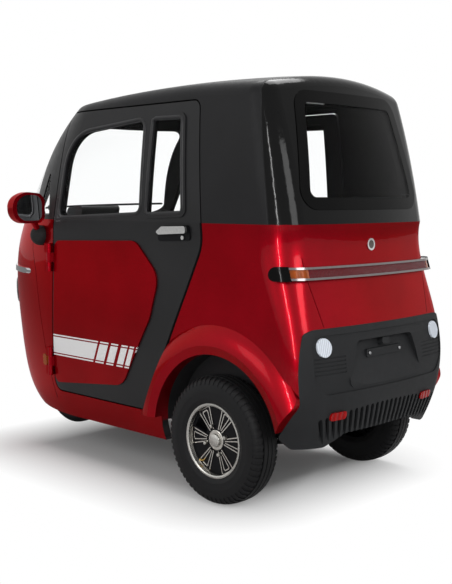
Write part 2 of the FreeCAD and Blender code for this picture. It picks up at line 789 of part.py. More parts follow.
def make_mirrors():
    """A deep rounded shell on a short stalk and boot at each side, and the glass in its rear face."""
    z, y, x = size("mirror_z"), size("mirror_y"), size("mirror_x")
    depth = size("mirror_depth")
    outline = [(y - 84, z - 66), (y + 78, z - 70), (y + 88, z + 40), (y + 20, z + 72), (y - 84, z + 64)]
    shell = end_prism(outline, [34, 62, 60, 80, 46], x, x + depth)
    front_edges = [edge for edge in shell.Edges if edge.BoundBox.XMin > x + depth - 1]
    shell = shell.makeFillet(40, front_edges)
    inner = [(y - 68, z - 56), (y + 58, z - 58), (y + 68, z + 34), (y + 14, z + 60), (y - 68, z + 54)]
    pocket = end_prism(inner, [30, 50, 48, 62, 40], x, x + 5)
    foot = V(x + 62, size("half_width") - 26, BELT - 84)
    head = V(x + 36, y - 40, z - 50)
    stalk = Part.makeCylinder(14, foot.distanceToPoint(head), foot, head - foot)
    boot = Part.makeSphere(46, foot + (head - foot) * 0.12)
    body = lower_form(0).fuse(upper_form(0))
    boot = boot.cut(body).cut(stalk)
    feature("mirror_boots", both_sides(boot))
    solid = shell.cut(pocket).fuse(stalk).cut(body)
    feature("mirrors", both_sides(solid.removeSplitter()))
    feature("mirror_glasses", both_sides(pocket))


# Inside the cabin.

def bent_sheet(points, thickness):
    """A folded sheet as mitred slabs along (x, z) points, across the whole car."""
    count = len(points)
    normals = []
    for (x1, z1), (x2, z2) in zip(points, points[1:]):
        length = math.hypot(x2 - x1, z2 - z1)
        normals.append((-(z2 - z1) / length, (x2 - x1) / length))
    far_side = []
    for i, (x, z) in enumerate(points):
        first = normals[max(i - 1, 0)]
        second = normals[min(i, count - 2)]
        mean = (first[0] + second[0], first[1] + second[1])
        scale = 2 * thickness / (mean[0] ** 2 + mean[1] ** 2)
        far_side.append((x + mean[0] * scale, z + mean[1] * scale))
    loop = [V(x, -FAR / 2, z) for x, z in points] + [V(x, -FAR / 2, z) for x, z in reversed(far_side)]
    return Part.Face(Part.makePolygon(loop + loop[:1])).extrude(V(0, FAR, 0))


def cabin_tub():
    """Floor, seat riser and rear deck, one moulding that rests on the chassis rails."""
    thick = size("floor_thickness")
    floor = size("rail_z") + size("rail_half")
    riser, pan = size("riser_x"), size("seat_pan_z")
    deck = size("rail_rear_z") + size("rail_half") + 130
    run = [(size("bulkhead_x"), floor), (riser, floor), (riser - 30, pan - thick), (-28, pan - thick),
           (-50, deck), (size("tail_x") + 60, deck)]
    sheet_solid = bent_sheet(run, -thick)
    tub = sheet_solid.common(lower_form(WALL + GAP))
    liner = size("arch_radius") + size("arch_liner")
    for y_from in (size("arch_inner_y"), -FAR):
        tub = tub.cut(arch_cylinder(liner, y_from, y_from + FAR - size("arch_inner_y")))
    return tub


def inner_arch():
    """The black well over a rear wheel, open below, with a hole for the axle."""
    radius, wall = size("arch_radius"), size("arch_liner")
    inner = size("arch_inner_y")
    well = arch_cylinder(radius + wall, inner, size("half_width"))
    well = well.cut(arch_cylinder(radius, inner + wall, FAR))
    well = well.cut(arch_cylinder(size("drum_radius") + 12, 0, FAR))
    keep = block(-FAR, FAR, 0, FAR, size("rear_tyre_radius") + 20, FAR)
    return well.common(keep).common(lower_form(WALL))


def make_cabin():
    feature("cabin_tub", cabin_tub())
    feature("inner_arches", both_sides(inner_arch()))
    pan = size("seat_pan_z")
    riser = size("riser_x")
    cushion = [(riser + 12, pan + 0.3), (riser + 18, pan + 108), (85, pan + 92), (85, pan + 0.3)]
    feature("seat_cushion", side_prism(cushion, [20, 34, 30, 20], -210, 210))
    back = [(78, pan + 0.3), (82, pan + 110), (12, pan + 540), (-62, pan + 545), (2, pan + 0.3)]
    feature("seat_back", side_prism(back, [14, 30, 30, 30, 14], -200, 200))


def make_dashboard():
    """Bulkhead, tray round the steering stem, dash front and cowl shelf, with the instrument pod."""
    thick = size("floor_thickness")
    foot = size("bulkhead_x")
    floor = size("rail_z") + size("rail_half")
    tray, top = size("bar_z") - 110, size("dash_z")
    rear_edge = stem_point(tray).x - 90
    front_edge = stem_point(tray).x + 110
    run = [(foot, floor), (foot + 14, tray - 320), (rear_edge, tray), (front_edge, tray),
           (front_edge, top), (size("nose_x") - 150, top)]
    lower = bent_sheet(run, thick)
    inside = lower_form(WALL + 0.3).fuse(upper_form(WALL + 0.3))
    panel = lower.common(inside).cut(cabin_tub())
    hole = Part.makeCylinder(size("stem_radius") + 14, 300, stem_point(tray - 90), rake_axis())
    panel = panel.cut(hole)
    pod = side_prism([(front_edge - 45, top - 2), (front_edge - 62, top + 58), (front_edge + 60, top + 46),
                      (front_edge + 80, top - 2)], [8, 16, 24, 8], -118, 118)
    shelf = block(front_edge - 60, front_edge + 90, -118, 118, top - 8, top + 4)
    feature("dashboard", panel.fuse([pod, shelf]).removeSplitter())


# Running gear.

def rake_axis():
    turn = math.radians(size("rake_angle"))
    return V(-math.sin(turn), 0, math.cos(turn))


def stem_point(z):
    """The point of the steering axis at a height."""
    turn = math.radians(size("rake_angle"))
    base = FRONT_AXLE - size("fork_offset") / math.cos(turn)
    return V(base - (z - size("front_tyre_radius")) * math.tan(turn), 0, z)


def tube(points, radius, bend):
    """A round tube along straight runs joined by tangent arcs."""
    edges = []
    start = points[0]
    for i in range(1, len(points) - 1):
        corner = points[i]
        back = (points[i - 1] - corner).normalize()
        ahead = (points[i + 1] - corner).normalize()
        half = math.acos(back.dot(ahead)) / 2
        reach = bend / math.tan(half)
        middle = (back + ahead).normalize()
        top = corner + middle * (bend / math.sin(half) - bend)
        edges.append(Part.LineSegment(start, corner + back * reach).toShape())
        edges.append(Part.Arc(corner + back * reach, top, corner + ahead * reach).toShape())
        start = corner + ahead * reach
    edges.append(Part.LineSegment(start, points[-1]).toShape())
    path = Part.Wire(edges)
    profile = Part.Wire([Part.Circle(points[0], points[1] - points[0], radius).toShape()])
    return path.makePipeShell([profile], True, True)


def straight(start, end, radius):
    return Part.makeCylinder(radius, start.distanceToPoint(end), start, end - start)


def make_chassis():
    """Two box rails that rise over the axle, round cross members, spring hangers, neck and head."""
    half, low, high = size("rail_half"), size("rail_z"), size("rail_rear_z")
    y, front = size("rail_y"), size("rail_front_x")
    rear_end = size("tail_x") + 112
    run = [(front + half, low - half), (200, low - half), (110, high - half), (rear_end, high - half)]
    rail = bent_sheet(run, -2 * half).common(block(-FAR, 2 * FAR, y - half, y + half, 0, FAR))
    feature("chassis_frame", both_sides(rail))
    radius = size("cross_radius")
    inner = y - half
    crosses = []
    for x, z in ((front, low), (480, low), (300, low), (60, high), (rear_end + 12, high)):
        level = z + half - radius
        crosses.append(straight(V(x, -inner, level), V(x, inner, level), radius))
    feature("cross_members", Part.makeCompound(crosses))
    eye = size("spring_y") - size("spring_width") / 2
    front_hanger = block(287, 313, y + half, eye, low - half, 300)
    rear_hanger = block(rear_end + 27, rear_end + 53, y + half, eye, 265, high + half)
    hangers = Part.makeCompound([front_hanger, rear_hanger])
    feature("spring_hangers", both_sides(hangers))
    knee = V(front + 18, 0, 470)
    head = straight(stem_point(590), stem_point(790), size("stem_radius") + 12)
    neck = straight(V(front, 0, low + half - radius), knee, 18)
    neck = neck.fuse([Part.makeSphere(18, knee), straight(knee, stem_point(690), 18), head])
    bore = straight(stem_point(560), stem_point(820), size("stem_radius") + size("shaft_clearance"))
    feature("steering_neck", neck.cut(bore).cut(crosses[0]).removeSplitter())


def make_springs():
    y = size("spring_y")
    feature("leaf_springs", Part.makeCompound([leaf_spring(-y), leaf_spring(y)]))


def leaf_spring(side):
    """A bowed leaf with an eye at each end, clamped under the axle."""
    top = size("rear_tyre_radius") - size("axle_radius")
    wide = size("spring_width")
    rear_eye = size("tail_x") + 152
    low = side - wide / 2

    def arc(drop):
        front_end, rear_end = V(300, low, 285 - drop), V(rear_eye, low, 285 - drop)
        return Part.Arc(front_end, V(0, low, top - drop), rear_end).toShape()

    upper, lower = arc(0), arc(14)
    ends = [Part.LineSegment(V(300, low, 285), V(300, low, 271)).toShape(),
            Part.LineSegment(V(rear_eye, low, 285), V(rear_eye, low, 271)).toShape()]
    leaf = Part.Face(Part.Wire(Part.__sortEdges__([upper, lower] + ends))).extrude(V(0, wide, 0))
    for x in (300, rear_eye):
        leaf = leaf.fuse(Part.makeCylinder(14, wide, V(x, low, 282), V(0, 1, 0)))
    return leaf.removeSplitter()


def make_rear_axle():
    """Axle tube with brake drums, differential and motor, as bound primitives."""
    reach = "(Sizes.rear_track / 2 - Sizes.rear_tyre_width / 2 - 4)"
    names = []

    def cylinder(name, radius, height, x, y, z, axis):
        obj = doc.addObject("Part::Cylinder", name)
        obj.setExpression("Radius", radius)
        obj.setExpression("Height", height)
        obj.Placement = FreeCAD.Placement(V(0, 0, 0), FreeCAD.Rotation(V(0, 0, 1), axis))
        obj.setExpression("Placement.Base.x", x)
        obj.setExpression("Placement.Base.y", y)
        obj.setExpression("Placement.Base.z", z)
        names.append(obj)

    level = "Sizes.rear_tyre_radius"
    across = V(0, 1, 0)
    cylinder("axle_tube", "Sizes.axle_radius", "2 * " + reach, "0", "-" + reach, level, across)
    cylinder("differential", "Sizes.motor_radius", "110", "0", "-55", level, across)
    cylinder("motor", "Sizes.motor_radius - 12", "170", "40", "0", level + " + 20", V(1, 0, 0))
    stub_radius = "Sizes.wheel_bore_radius - Sizes.shaft_clearance"
    stub_length = "Sizes.rear_tyre_width / 2 + 14"
    for name, sign in (("left", 1), ("right", -1)):
        side = V(0, sign, 0)
        start = ("" if sign > 0 else "-") + reach
        cylinder("drum_" + name, "Sizes.drum_radius", "34", "0",
                 "%s - %d * 30" % (start, sign), level, side)
        cylinder("stub_" + name, stub_radius, stub_length, "0", start, level, side)
    fused = doc.addObject("Part::MultiFuse", "rear_axle")
    fused.Shapes = names
    place(fused)
    publish(fused, "rear_axle")


def make_battery():
    battery = doc.addObject("Part::Box", "battery_block")
    battery.setExpression("Length", "Sizes.battery_length")
    battery.setExpression("Width", "Sizes.battery_width")
    battery.setExpression("Height", "Sizes.battery_height")
    place(battery, "Sizes.battery_x", "-Sizes.battery_width / 2", "Sizes.rail_z + Sizes.rail_half")
    publish(battery, "battery_block")


def make_steering():
    """Fork with its yoke, stem and wheel spindle, and the handlebar with its grips."""
    axis = rake_axis()
    wheel = V(FRONT_AXLE, 0, size("front_tyre_radius"))
    yoke_rise = size("front_tyre_radius") + 34
    leg_y, leg = size("fork_leg_y"), size("fork_leg_radius")
    pieces = []
    for side in (-leg_y, leg_y):
        foot = wheel + V(0, side, 0) - axis * 20
        pieces.append(straight(foot, foot + axis * (yoke_rise + 50), leg))
    yoke = block(-30 - size("fork_offset"), 24, -leg_y - leg, leg_y + leg, yoke_rise, yoke_rise + 26)
    yoke.rotate(V(0, 0, 0), V(0, 1, 0), -size("rake_angle"))
    yoke.translate(wheel)
    bar = stem_point(size("bar_z"))
    back = size("fork_offset") / math.cos(math.radians(size("rake_angle")))
    low = wheel + axis * (yoke_rise + 10) - V(back, 0, 0)
    clamp_low = bar - axis * 18
    pieces.append(straight(V(stem_point(low.z).x, 0, low.z), clamp_low, size("stem_radius")))
    spindle = size("wheel_bore_radius") - size("shaft_clearance")
    pieces.append(straight(wheel - V(0, leg_y, 0), wheel + V(0, leg_y, 0), spindle))
    feature("fork", yoke.fuse(pieces).removeSplitter())
    half = size("bar_half_width")
    sweep = [bar + V(-75, -half, 28), bar + V(10, -110, 0), bar + V(10, 110, 0), bar + V(-75, half, 28)]
    handle = tube(sweep, size("bar_radius"), 90)
    clamp = straight(clamp_low, bar + axis * 16, size("stem_radius") + 9)
    grips = []
    for sign in (-1, 1):
        tip = bar + V(-75, sign * half, 28)
        inner = tip + (bar + V(10, sign * 110, 0) - tip).normalize() * 115
        grips.append(straight(tip, inner, size("grip_radius")))
    feature("handlebar", handle.fuse([clamp] + grips).removeSplitter())


def origin_feature(body, role):
    return [f for f in body.Origin.OriginFeatures if f.Role == role][0]


def bound_polygon(body, name, role, *loops):
    """A sketch of closed loops whose corners are bound to the sheet, as pairs of expressions."""
    sketch = body.newObject("Sketcher::SketchObject", name)
    sketch.AttachmentSupport = (origin_feature(body, role), [""])
    sketch.MapMode = "FlatFace"
    first = 0
    for corners in loops:
        count = len(corners)
        spots = [V(evaluate(across), evaluate(up), 0) for across, up in corners]
        for i in range(count):
            sketch.addGeometry(Part.LineSegment(spots[i], spots[(i + 1) % count]), False)
        for i in range(count):
            after = first + (i + 1) % count
            sketch.addConstraint(Sketcher.Constraint("Coincident", first + i, 2, after, 1))
        for i, (across, up) in enumerate(corners, start=first):
            spot = spots[i - first]
            for kind, text, value in (("DistanceX", across, spot.x), ("DistanceY", up, spot.y)):
                index = sketch.addConstraint(Sketcher.Constraint(kind, -1, 1, i, 1, value))
                label = "corner%d%s" % (i, kind[-1].lower())
                sketch.renameConstraint(index, label)
                sketch.setExpression("Constraints." + label, text)
        first += count
    return sketch


def evaluate(text):
    """The value of a sheet expression, for a sketch's first placing."""
    return float(sheet.evalExpression(text.replace("Sizes.", "")))


def revolved(body, corners):
    sketch = bound_polygon(body, body.Name + "_profile", "XY_Plane", corners)
    turn = body.newObject("PartDesign::Revolution", body.Name + "_turn")
    turn.Profile = sketch
    turn.ReferenceAxis = (sketch, ["V_Axis"])
    turn.Angle = 360
    return turn


# One half of a tyre's section as shares, from the rim up and from its middle out.
TYRE_HALF = (
    (0.00, 0.40), (0.10, 0.44), (0.42, 0.50), (0.70, 0.485), (0.88, 0.42), (0.965, 0.30), (1.00, 0.14),
)


def make_tyre(label, wheel, x, y, z):
    """A revolved tyre section with shoulders, its axle along Y."""
    body = doc.addObject("PartDesign::Body", label)
    rim, wide = "Sizes.%s_rim_radius" % wheel, "Sizes.%s_tyre_width" % wheel
    tall = "(Sizes.%s_tyre_radius - %s)" % (wheel, rim)
    side = [("%s + %.3f * %s" % (rim, up, tall), "%.3f * %s" % (out, wide)) for up, out in TYRE_HALF]
    other = [(up, "-" + out) for up, out in reversed(side)]
    revolved(body, side + other)
    place(body, x, y, z)
    publish(body, label)


# Spoke fins as shares of the rim radius, along a spoke and across it: one half of each hairpin,
# outside first and then inside; the other half mirrors it.
FIN_HALVES = (
    ((0.30, 0.085), (0.87, 0.232), (0.92, 0.190), (0.890, 0.172), (0.855, 0.200), (0.30, 0.055)),
    ((0.34, 0.034), (0.80, 0.112), (0.845, 0.085), (0.815, 0.068), (0.785, 0.082), (0.34, 0.010)),
)


def fin_loops(rim):
    """Two hairpins, one inside the other, as corner expressions."""
    loops = []
    for outer_a, outer_b, outer_c, inner_c, inner_b, inner_a in FIN_HALVES:
        outside = [outer_a, outer_b, outer_c]
        inside = [inner_c, inner_b, inner_a]
        far_side = [(u, -v) for u, v in reversed(outside)] + [(u, -v) for u, v in reversed(inside)]
        loop = outside + far_side + inside
        loops.append([("%.3f * %s" % (u, rim), "%.3f * %s" % (v, rim)) for u, v in loop])
    return loops


def spoke_window(rim):
    """Corner expressions of the opening between two spoke groups."""
    inner, outer = "(Sizes.spoke_window_inner + 14)", "(%s - Sizes.rim_wall - 16)" % rim
    corners = []
    for reach, sign in ((inner, "+"), (outer, "+"), (outer, "-"), (inner, "-")):
        turn = "(180 / Sizes.spoke_groups %s Sizes.spoke_window_angle / 2)" % sign
        corners.append(("%s * cos(%s)" % (reach, turn), "%s * sin(%s)" % (reach, turn)))
    return corners


def ring_of(body, original, name):
    """Repeats a feature round the axle, once for each spoke group."""
    ring = body.newObject("PartDesign::PolarPattern", name)
    ring.Originals = [original]
    ring.Axis = (origin_feature(body, "Y_Axis"), [""])
    ring.Angle = 360
    ring.setExpression("Occurrences", "Sizes.spoke_groups")
    return ring


def make_rim(label, wheel, face, x, y, z):
    """A cast wheel: barrel, dished disc, hub and lip; face is 1 or -1 for the side it shows."""
    body = doc.addObject("PartDesign::Body", label)
    rim, wide = "Sizes.%s_rim_radius" % wheel, "Sizes.%s_tyre_width" % wheel
    half = "0.40 * " + wide
    sign = "" if face > 0 else "-"

    def out(text):
        return "%s(%s)" % (sign, text)

    disc_face = half + " - Sizes.rim_face_depth"
    disc_back = disc_face + " - Sizes.rim_disc_thickness"
    bore = "Sizes.wheel_bore_radius"
    corners = [
        (bore, out(disc_face + " + 6")),
        ("Sizes.spoke_window_inner - 10", out(disc_face + " + 6")),
        ("Sizes.spoke_window_inner", out(disc_face)),
        (rim + " - Sizes.rim_wall - 4", out(disc_face + " + 4")),
        (rim + " - Sizes.rim_wall", out(half + " - 3")),
        (rim + " - 0.3", out(half)),
        (rim + " - 0.3", out("-" + half)),
        (rim + " - Sizes.rim_wall - 0.3", out("-" + half)),
        (rim + " - Sizes.rim_wall - 0.3", out(disc_back)),
        ("Sizes.spoke_window_inner - 6", out(disc_back)),
        ("Sizes.spoke_window_inner - 12", out(disc_back + " - 10")),
        (bore, out(disc_back + " - 10")),
    ]
    revolved(body, corners)
    doc.recompute()
    pocket = body.newObject("PartDesign::Pocket", label + "_pocket")
    pocket.Profile = bound_polygon(body, label + "_window", "XZ_Plane", spoke_window(rim))
    pocket.Type = 1
    pocket.Midplane = True
    ring_of(body, pocket, label + "_windows")
    fins = body.newObject("PartDesign::Pad", label + "_fins")
    fins.Profile = bound_polygon(body, label + "_fin", "XZ_Plane", *fin_loops(rim))
    fins.setExpression("Length", disc_face + " + Sizes.fin_height")
    fins.Reversed = face > 0
    body.Tip = ring_of(body, fins, label + "_fin_ring")
    place(body, x, y, z)
    publish(body, label)


def make_wheels():
    half_track = "Sizes.rear_track / 2"
    level = "Sizes.rear_tyre_radius"
    make_tyre("rear_tyre_left", "rear", "0", half_track, level)
    make_tyre("rear_tyre_right", "rear", "0", "-" + half_track, level)
    make_rim("rear_rim_left", "rear", 1, "0", half_track, level)
    make_rim("rear_rim_right", "rear", -1, "0", "-" + half_track, level)
    make_tyre("front_tyre", "front", "Sizes.wheelbase", "0", "Sizes.front_tyre_radius")
    make_rim("front_rim", "front", 1, "Sizes.wheelbase", "0", "Sizes.front_tyre_radius")


make_body_panels()
make_roof_shell()
make_glass()
make_bumper()
make_rear_lights()
make_light_strip()
make_plate_bracket()
make_front_details()
make_wiper()
make_doors()
make_mirrors()
make_cabin()
make_dashboard()
make_chassis()
make_springs()
make_rear_axle()
make_battery()
make_steering()
make_wheels()
doc.recompute()

faults = []
for obj in doc.Objects:
    if "Invalid" in obj.State or "Error" in obj.State:
        faults.append("%s: %s" % (obj.Name, obj.State))
for part in parts:
    if part.Shape.isNull() or not part.Shape.isValid() or not part.Shape.Solids:
        faults.append("%s: no valid solid" % part.Label)
if faults:
    raise RuntimeError("; ".join(faults))

os.makedirs("parts", exist_ok=True)
for part in parts:
    part.Shape.exportStep(os.path.join("parts", part.Label + ".step"))
    print("%-22s %2d solids %9.0f cm3" % (part.Label, len(part.Shape.Solids), part.Shape.Volume / 1000))
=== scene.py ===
import bpy
import bmesh
import json
import math
from mathutils import Matrix, Vector
from mathutils.bvhtree import BVHTree


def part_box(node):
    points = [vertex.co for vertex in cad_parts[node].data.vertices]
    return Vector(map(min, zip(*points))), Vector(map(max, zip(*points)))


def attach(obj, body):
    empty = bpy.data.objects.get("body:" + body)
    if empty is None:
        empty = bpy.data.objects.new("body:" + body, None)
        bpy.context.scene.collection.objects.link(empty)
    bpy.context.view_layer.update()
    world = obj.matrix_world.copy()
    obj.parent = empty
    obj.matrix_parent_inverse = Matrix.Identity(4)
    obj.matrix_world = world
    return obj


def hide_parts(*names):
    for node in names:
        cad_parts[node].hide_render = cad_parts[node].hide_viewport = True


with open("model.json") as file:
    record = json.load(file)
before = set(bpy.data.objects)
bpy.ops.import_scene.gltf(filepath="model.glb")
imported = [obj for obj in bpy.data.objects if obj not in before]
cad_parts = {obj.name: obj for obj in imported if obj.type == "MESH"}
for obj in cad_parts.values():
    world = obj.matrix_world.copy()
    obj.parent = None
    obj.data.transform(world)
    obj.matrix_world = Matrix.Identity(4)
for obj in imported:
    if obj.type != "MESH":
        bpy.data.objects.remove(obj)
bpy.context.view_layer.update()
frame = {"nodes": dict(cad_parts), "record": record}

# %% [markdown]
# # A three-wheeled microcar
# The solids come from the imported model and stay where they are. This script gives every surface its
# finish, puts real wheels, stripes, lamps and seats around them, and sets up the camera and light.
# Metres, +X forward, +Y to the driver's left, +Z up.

nodes = frame["nodes"]


def middle(node):
    """Centre of a node's box."""
    low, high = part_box(node)
    return (low + high) / 2


rear_axle, front_axle = middle("rear_tyre_left"), middle("front_tyre")
print("rear axle at", round(rear_axle.x, 3), "front axle at", round(front_axle.x, 3))

# %% [markdown]
# ## Shader maths as Python
# A socket is wrapped in a small class, so that a mask such as `1 - band` can be written as plain
# arithmetic. Each operator adds one Math node. Colours are blended with Mix, never with Math.

# %% Value and Finish
NOISE_SPAN = (0.3, 0.7)


class Value:
    """A number that varies over a surface."""

    def __init__(self, finish, socket):
        self.finish, self.socket = finish, socket

    def math(self, operation, *others):
        inputs = dict(enumerate((self, *others)))
        return self.finish.node("ShaderNodeMath", {"operation": operation}, inputs)

    def __add__(self, other):
        return self.math("ADD", other)

    def __sub__(self, other):
        return self.math("SUBTRACT", other)

    def __mul__(self, other):
        return self.math("MULTIPLY", other)

    def __truediv__(self, other):
        return self.math("DIVIDE", other)

    def __rsub__(self, other):
        return self.finish.number(other).math("SUBTRACT", self)

    __radd__, __rmul__ = __add__, __mul__


class Finish:
    """A procedural material: makes nodes and feeds them to its own shader."""

    def __init__(self, name, **uniform):
        self.material = bpy.data.materials.new(name)
        self.material.use_nodes = True
        self.tree = self.material.node_tree
        self.shader = self.tree.nodes["Principled BSDF"]
        for socket, value in uniform.items():
            self.shader.inputs[socket.replace("_", " ")].default_value = value

    def node(self, kind, settings=None, sockets=None, output=0):
        made = self.tree.nodes.new(kind)
        for key, value in (settings or {}).items():
            setattr(made, key, value)
        for key, value in (sockets or {}).items():
            self.feed(made.inputs[key], value)
        return Value(self, made.outputs[output])

    def feed(self, socket, value):
        if isinstance(value, Value):
            self.tree.links.new(value.socket, socket)
        else:
            socket.default_value = value

    def number(self, value):
        """A plain number as a Value, for the left side of an operator."""
        return self.node("ShaderNodeMath", {"operation": "ADD"}, {0: value, 1: 0.0})

    def set(self, socket, value):
        self.feed(self.shader.inputs[socket], value)
        return self

    def vector_math(self, operation, *vectors, output="Vector"):
        return self.node("ShaderNodeVectorMath", {"operation": operation}, dict(enumerate(vectors)), output)

    def place(self):
        return self.node("ShaderNodeTexCoord", output="Object")

    def axis(self, name):
        return self.node("ShaderNodeSeparateXYZ", sockets={0: self.place()}, output=name)

    def noise(self, scale, detail=3.0, rough=0.5, stretch=(1, 1, 1)):
        place = self.node("ShaderNodeMapping", sockets={"Vector": self.place(), "Scale": stretch})
        sockets = {"Vector": place, "Scale": scale, "Detail": detail, "Roughness": rough}
        return self.node("ShaderNodeTexNoise", sockets=sockets)

    def mottle(self, scale, low=0.0, high=1.0, detail=3.0):
        """A noise whose usual span is mapped to low and high."""
        return self.spread(self.noise(scale, detail), *NOISE_SPAN, low, high)

    def mix(self, mask, first, second):
        """first where mask is 0, second where it is 1."""
        return self.node("ShaderNodeMix", {"data_type": "RGBA"}, {0: mask, 6: first, 7: second}, output=2)

    def spread(self, value, low, high, out_low=0.0, out_high=1.0):
        """A value's range mapped to another, clamped."""
        return self.node("ShaderNodeMapRange", sockets={0: value, 1: low, 2: high, 3: out_low, 4: out_high})

    def band(self, value, low, high, soft=0.0004):
        """1 where low < value < high, with a soft edge."""
        rise = self.spread(value, low - soft, low + soft)
        return rise * self.spread(value, high - soft, high + soft, 1.0, 0.0)

    def inward(self, centre):
        """1 on faces that look towards a point, 0 on faces that look away from it."""
        way = self.vector_math("SUBTRACT", self.place(), centre)
        normal = self.node("ShaderNodeTexCoord", output="Normal")
        along = self.vector_math("DOT_PRODUCT", way, normal, output="Value")
        return self.spread(along, -0.02, 0.02, 1.0, 0.0)

    def bump(self, height, distance, strength=1.0):
        sockets = {"Height": height, "Distance": distance, "Strength": strength}
        return self.set("Normal", self.node("ShaderNodeBump", sockets=sockets))


def shade(colour, factor, lift=0.0):
    """A colour made lighter or darker."""
    return tuple(min(1.0, part * factor + lift) for part in colour[:3]) + (1,)


# %% [markdown]
# ## Paint
# The red is a candy metallic: a metallic base under a clear coat. The colour varies a little with a
# broad noise, and a very fine noise stands for the flakes, in roughness only. The coat is kept weak,
# because a white room mirrored in a full coat would turn the deep red pink.

# %% Candy red paint
RED = (0.30, 0.0010, 0.0075, 1)
RED_DEEP = (0.24, 0.0008, 0.0055, 1)
EDGE_RED = (1.0, 0.06, 0.09, 1)
PAINT_METAL = 0.80


def red_paint(name):
    paint = Finish(name, Metallic=PAINT_METAL, Specular_IOR_Level=0.03, Specular_Tint=EDGE_RED,
                   Coat_Weight=0.17, Coat_Roughness=0.02)
    paint.set("Roughness", paint.mottle(900.0, 0.25, 0.36, detail=1.0))
    return paint, paint.mix(paint.spread(paint.noise(3.0), 0.35, 0.65), RED, RED_DEEP)


plain_paint, plain_colour = red_paint("candy_red")
candy_red = plain_paint.set("Base Color", plain_colour).material

# %% [markdown]
# The body shells are painted outside and painted near black inside, as painted shade of the cabin.
# Inside is where a face looks towards the middle of the cabin and lies within the inner face of the side
# walls.

# %% Paint outside, painted shade inside
CABIN_MIDDLE, WALL_INNER = (-0.40, 0.0, 1.15), 0.445
# The dark colour below is painted shade for the shells' faces inside the cabin.
CABIN_SHADE = (0.012, 0.012, 0.013, 1)

inside_shaded_paint, outside_red = red_paint("candy_red_inside_shaded")
beside = inside_shaded_paint.axis("Y").math("ABSOLUTE")
within = inside_shaded_paint.spread(beside, WALL_INNER, WALL_INNER + 0.001, 1.0, 0.0)
# Faces inside the cabin get the painted shade instead of the metallic red.
cabin_shade_mask = inside_shaded_paint.inward(CABIN_MIDDLE) * within
inside_shaded_paint.set("Base Color", inside_shaded_paint.mix(cabin_shade_mask, outside_red, CABIN_SHADE))
candy_inside_shaded = inside_shaded_paint.set("Metallic", PAINT_METAL - cabin_shade_mask * PAINT_METAL).material

# %% [markdown]
# ## Door stripe
# A white stripe runs low along the door: a long block, then five slanted ones that get narrower, with
# a thin line above and below each. It is painted by position, from a short table of the blocks' ends
# along the car. A block leans back as it rises, so the ends are compared with a slid coordinate.

# %% The striped paint
WHITE = (0.80, 0.80, 0.80, 1)
STRIPE_LOW, STRIPE_HIGH, STRIPE_LEAN = 0.4725, 0.5435, 0.41
LINE_GAP, LINE_TALL = 0.0055, 0.0062
STRIPE_BLOCKS = (
    # rear end, front end
    (0.0735, 0.420),
    (0.0020, 0.0594),
    (-0.0630, -0.0155),
    (-0.1245, -0.0840),
    (-0.1655, -0.1370),
    (-0.1950, -0.1790),
)


def stripe_mask(paint):
    height = paint.axis("Z")
    slide = paint.axis("X") + (height - STRIPE_LOW) * STRIPE_LEAN
    along = paint.number(0.0)
    for rear, front in STRIPE_BLOCKS:
        along = along + paint.band(slide, rear, front)
    below, above = STRIPE_LOW - LINE_GAP, STRIPE_HIGH + LINE_GAP
    tall = paint.band(height, STRIPE_LOW, STRIPE_HIGH)
    tall = tall + paint.band(height, below - LINE_TALL, below)
    tall = tall + paint.band(height, above, above + LINE_TALL)
    return along * tall


striped_paint, striped_colour = red_paint("candy_red_striped")
stripe = stripe_mask(striped_paint)
striped_paint.set("Base Color", striped_paint.mix(stripe, striped_colour, WHITE))
candy_striped = striped_paint.set("Metallic", PAINT_METAL - stripe * PAINT_METAL).material
print("stripe blocks:", len(STRIPE_BLOCKS))

# %% [markdown]
# ## Blacks, grain and rubber
# The window surround is polished, the bumper has moulded grain, so its bump is a fine noise and its
# roughness is high. Rubber and steel differ in depth of grain and in gloss.

# %% Moulded plastics


def plastic(name, colour, rough, grain_scale, grain_depth, coat=0.0, gloss=0.3):
    made = Finish(name, Specular_IOR_Level=gloss, Coat_Weight=coat, Coat_Roughness=0.06)
    made.set("Base Color", made.mix(made.mottle(5.0), colour, shade(colour, 1.3, 0.001)))
    made.set("Roughness", made.mottle(40.0, rough - 0.04, rough + 0.04))
    made.bump(made.noise(grain_scale, 2.0), grain_depth)
    return made.material


gloss_black = plastic("gloss_black", (0.002, 0.002, 0.002, 1), 0.10, 20.0, 0.0001, gloss=0.06)
bumper_grain = plastic("bumper_grain", (0.0115, 0.012, 0.013, 1), 0.58, 900.0, 0.0005, gloss=0.18)
inner_black = plastic("inner_black", (0.010, 0.010, 0.011, 1), 0.60, 700.0, 0.0004)
steel_black = plastic("steel_black", (0.012, 0.012, 0.012, 1), 0.45, 120.0, 0.0003)
case_grey = plastic("battery_grey", (0.05, 0.05, 0.055, 1), 0.55, 300.0, 0.0004)
rubber = plastic("tyre_rubber", (0.0075, 0.0075, 0.008, 1), 0.50, 500.0, 0.0004, gloss=0.14)
seal_rubber = plastic("seal_rubber", (0.009, 0.009, 0.010, 1), 0.34, 300.0, 0.0002, gloss=0.3)
soft_black = plastic("grip_rubber", (0.007, 0.007, 0.007, 1), 0.75, 400.0, 0.0008)

# %% [markdown]
# ## The cabin shell in two blacks
# The shell is satin at the sides and on top, and polished from the rear corners back, with a seam
# between. The seam leans forward as it rises. The doors are satin too, but their hinge knuckles are
# painted red like the body, so those are told apart by place: outside the door's skin, at its front,
# at the two hinge heights. Faces that look into the cabin are painted darker, a painted shade of the
# cabin, and are duller than the outside.

# %% Shell and doors
SATIN, POLISHED = (0.0085, 0.0085, 0.0092, 1), (0.0010, 0.0010, 0.0011, 1)
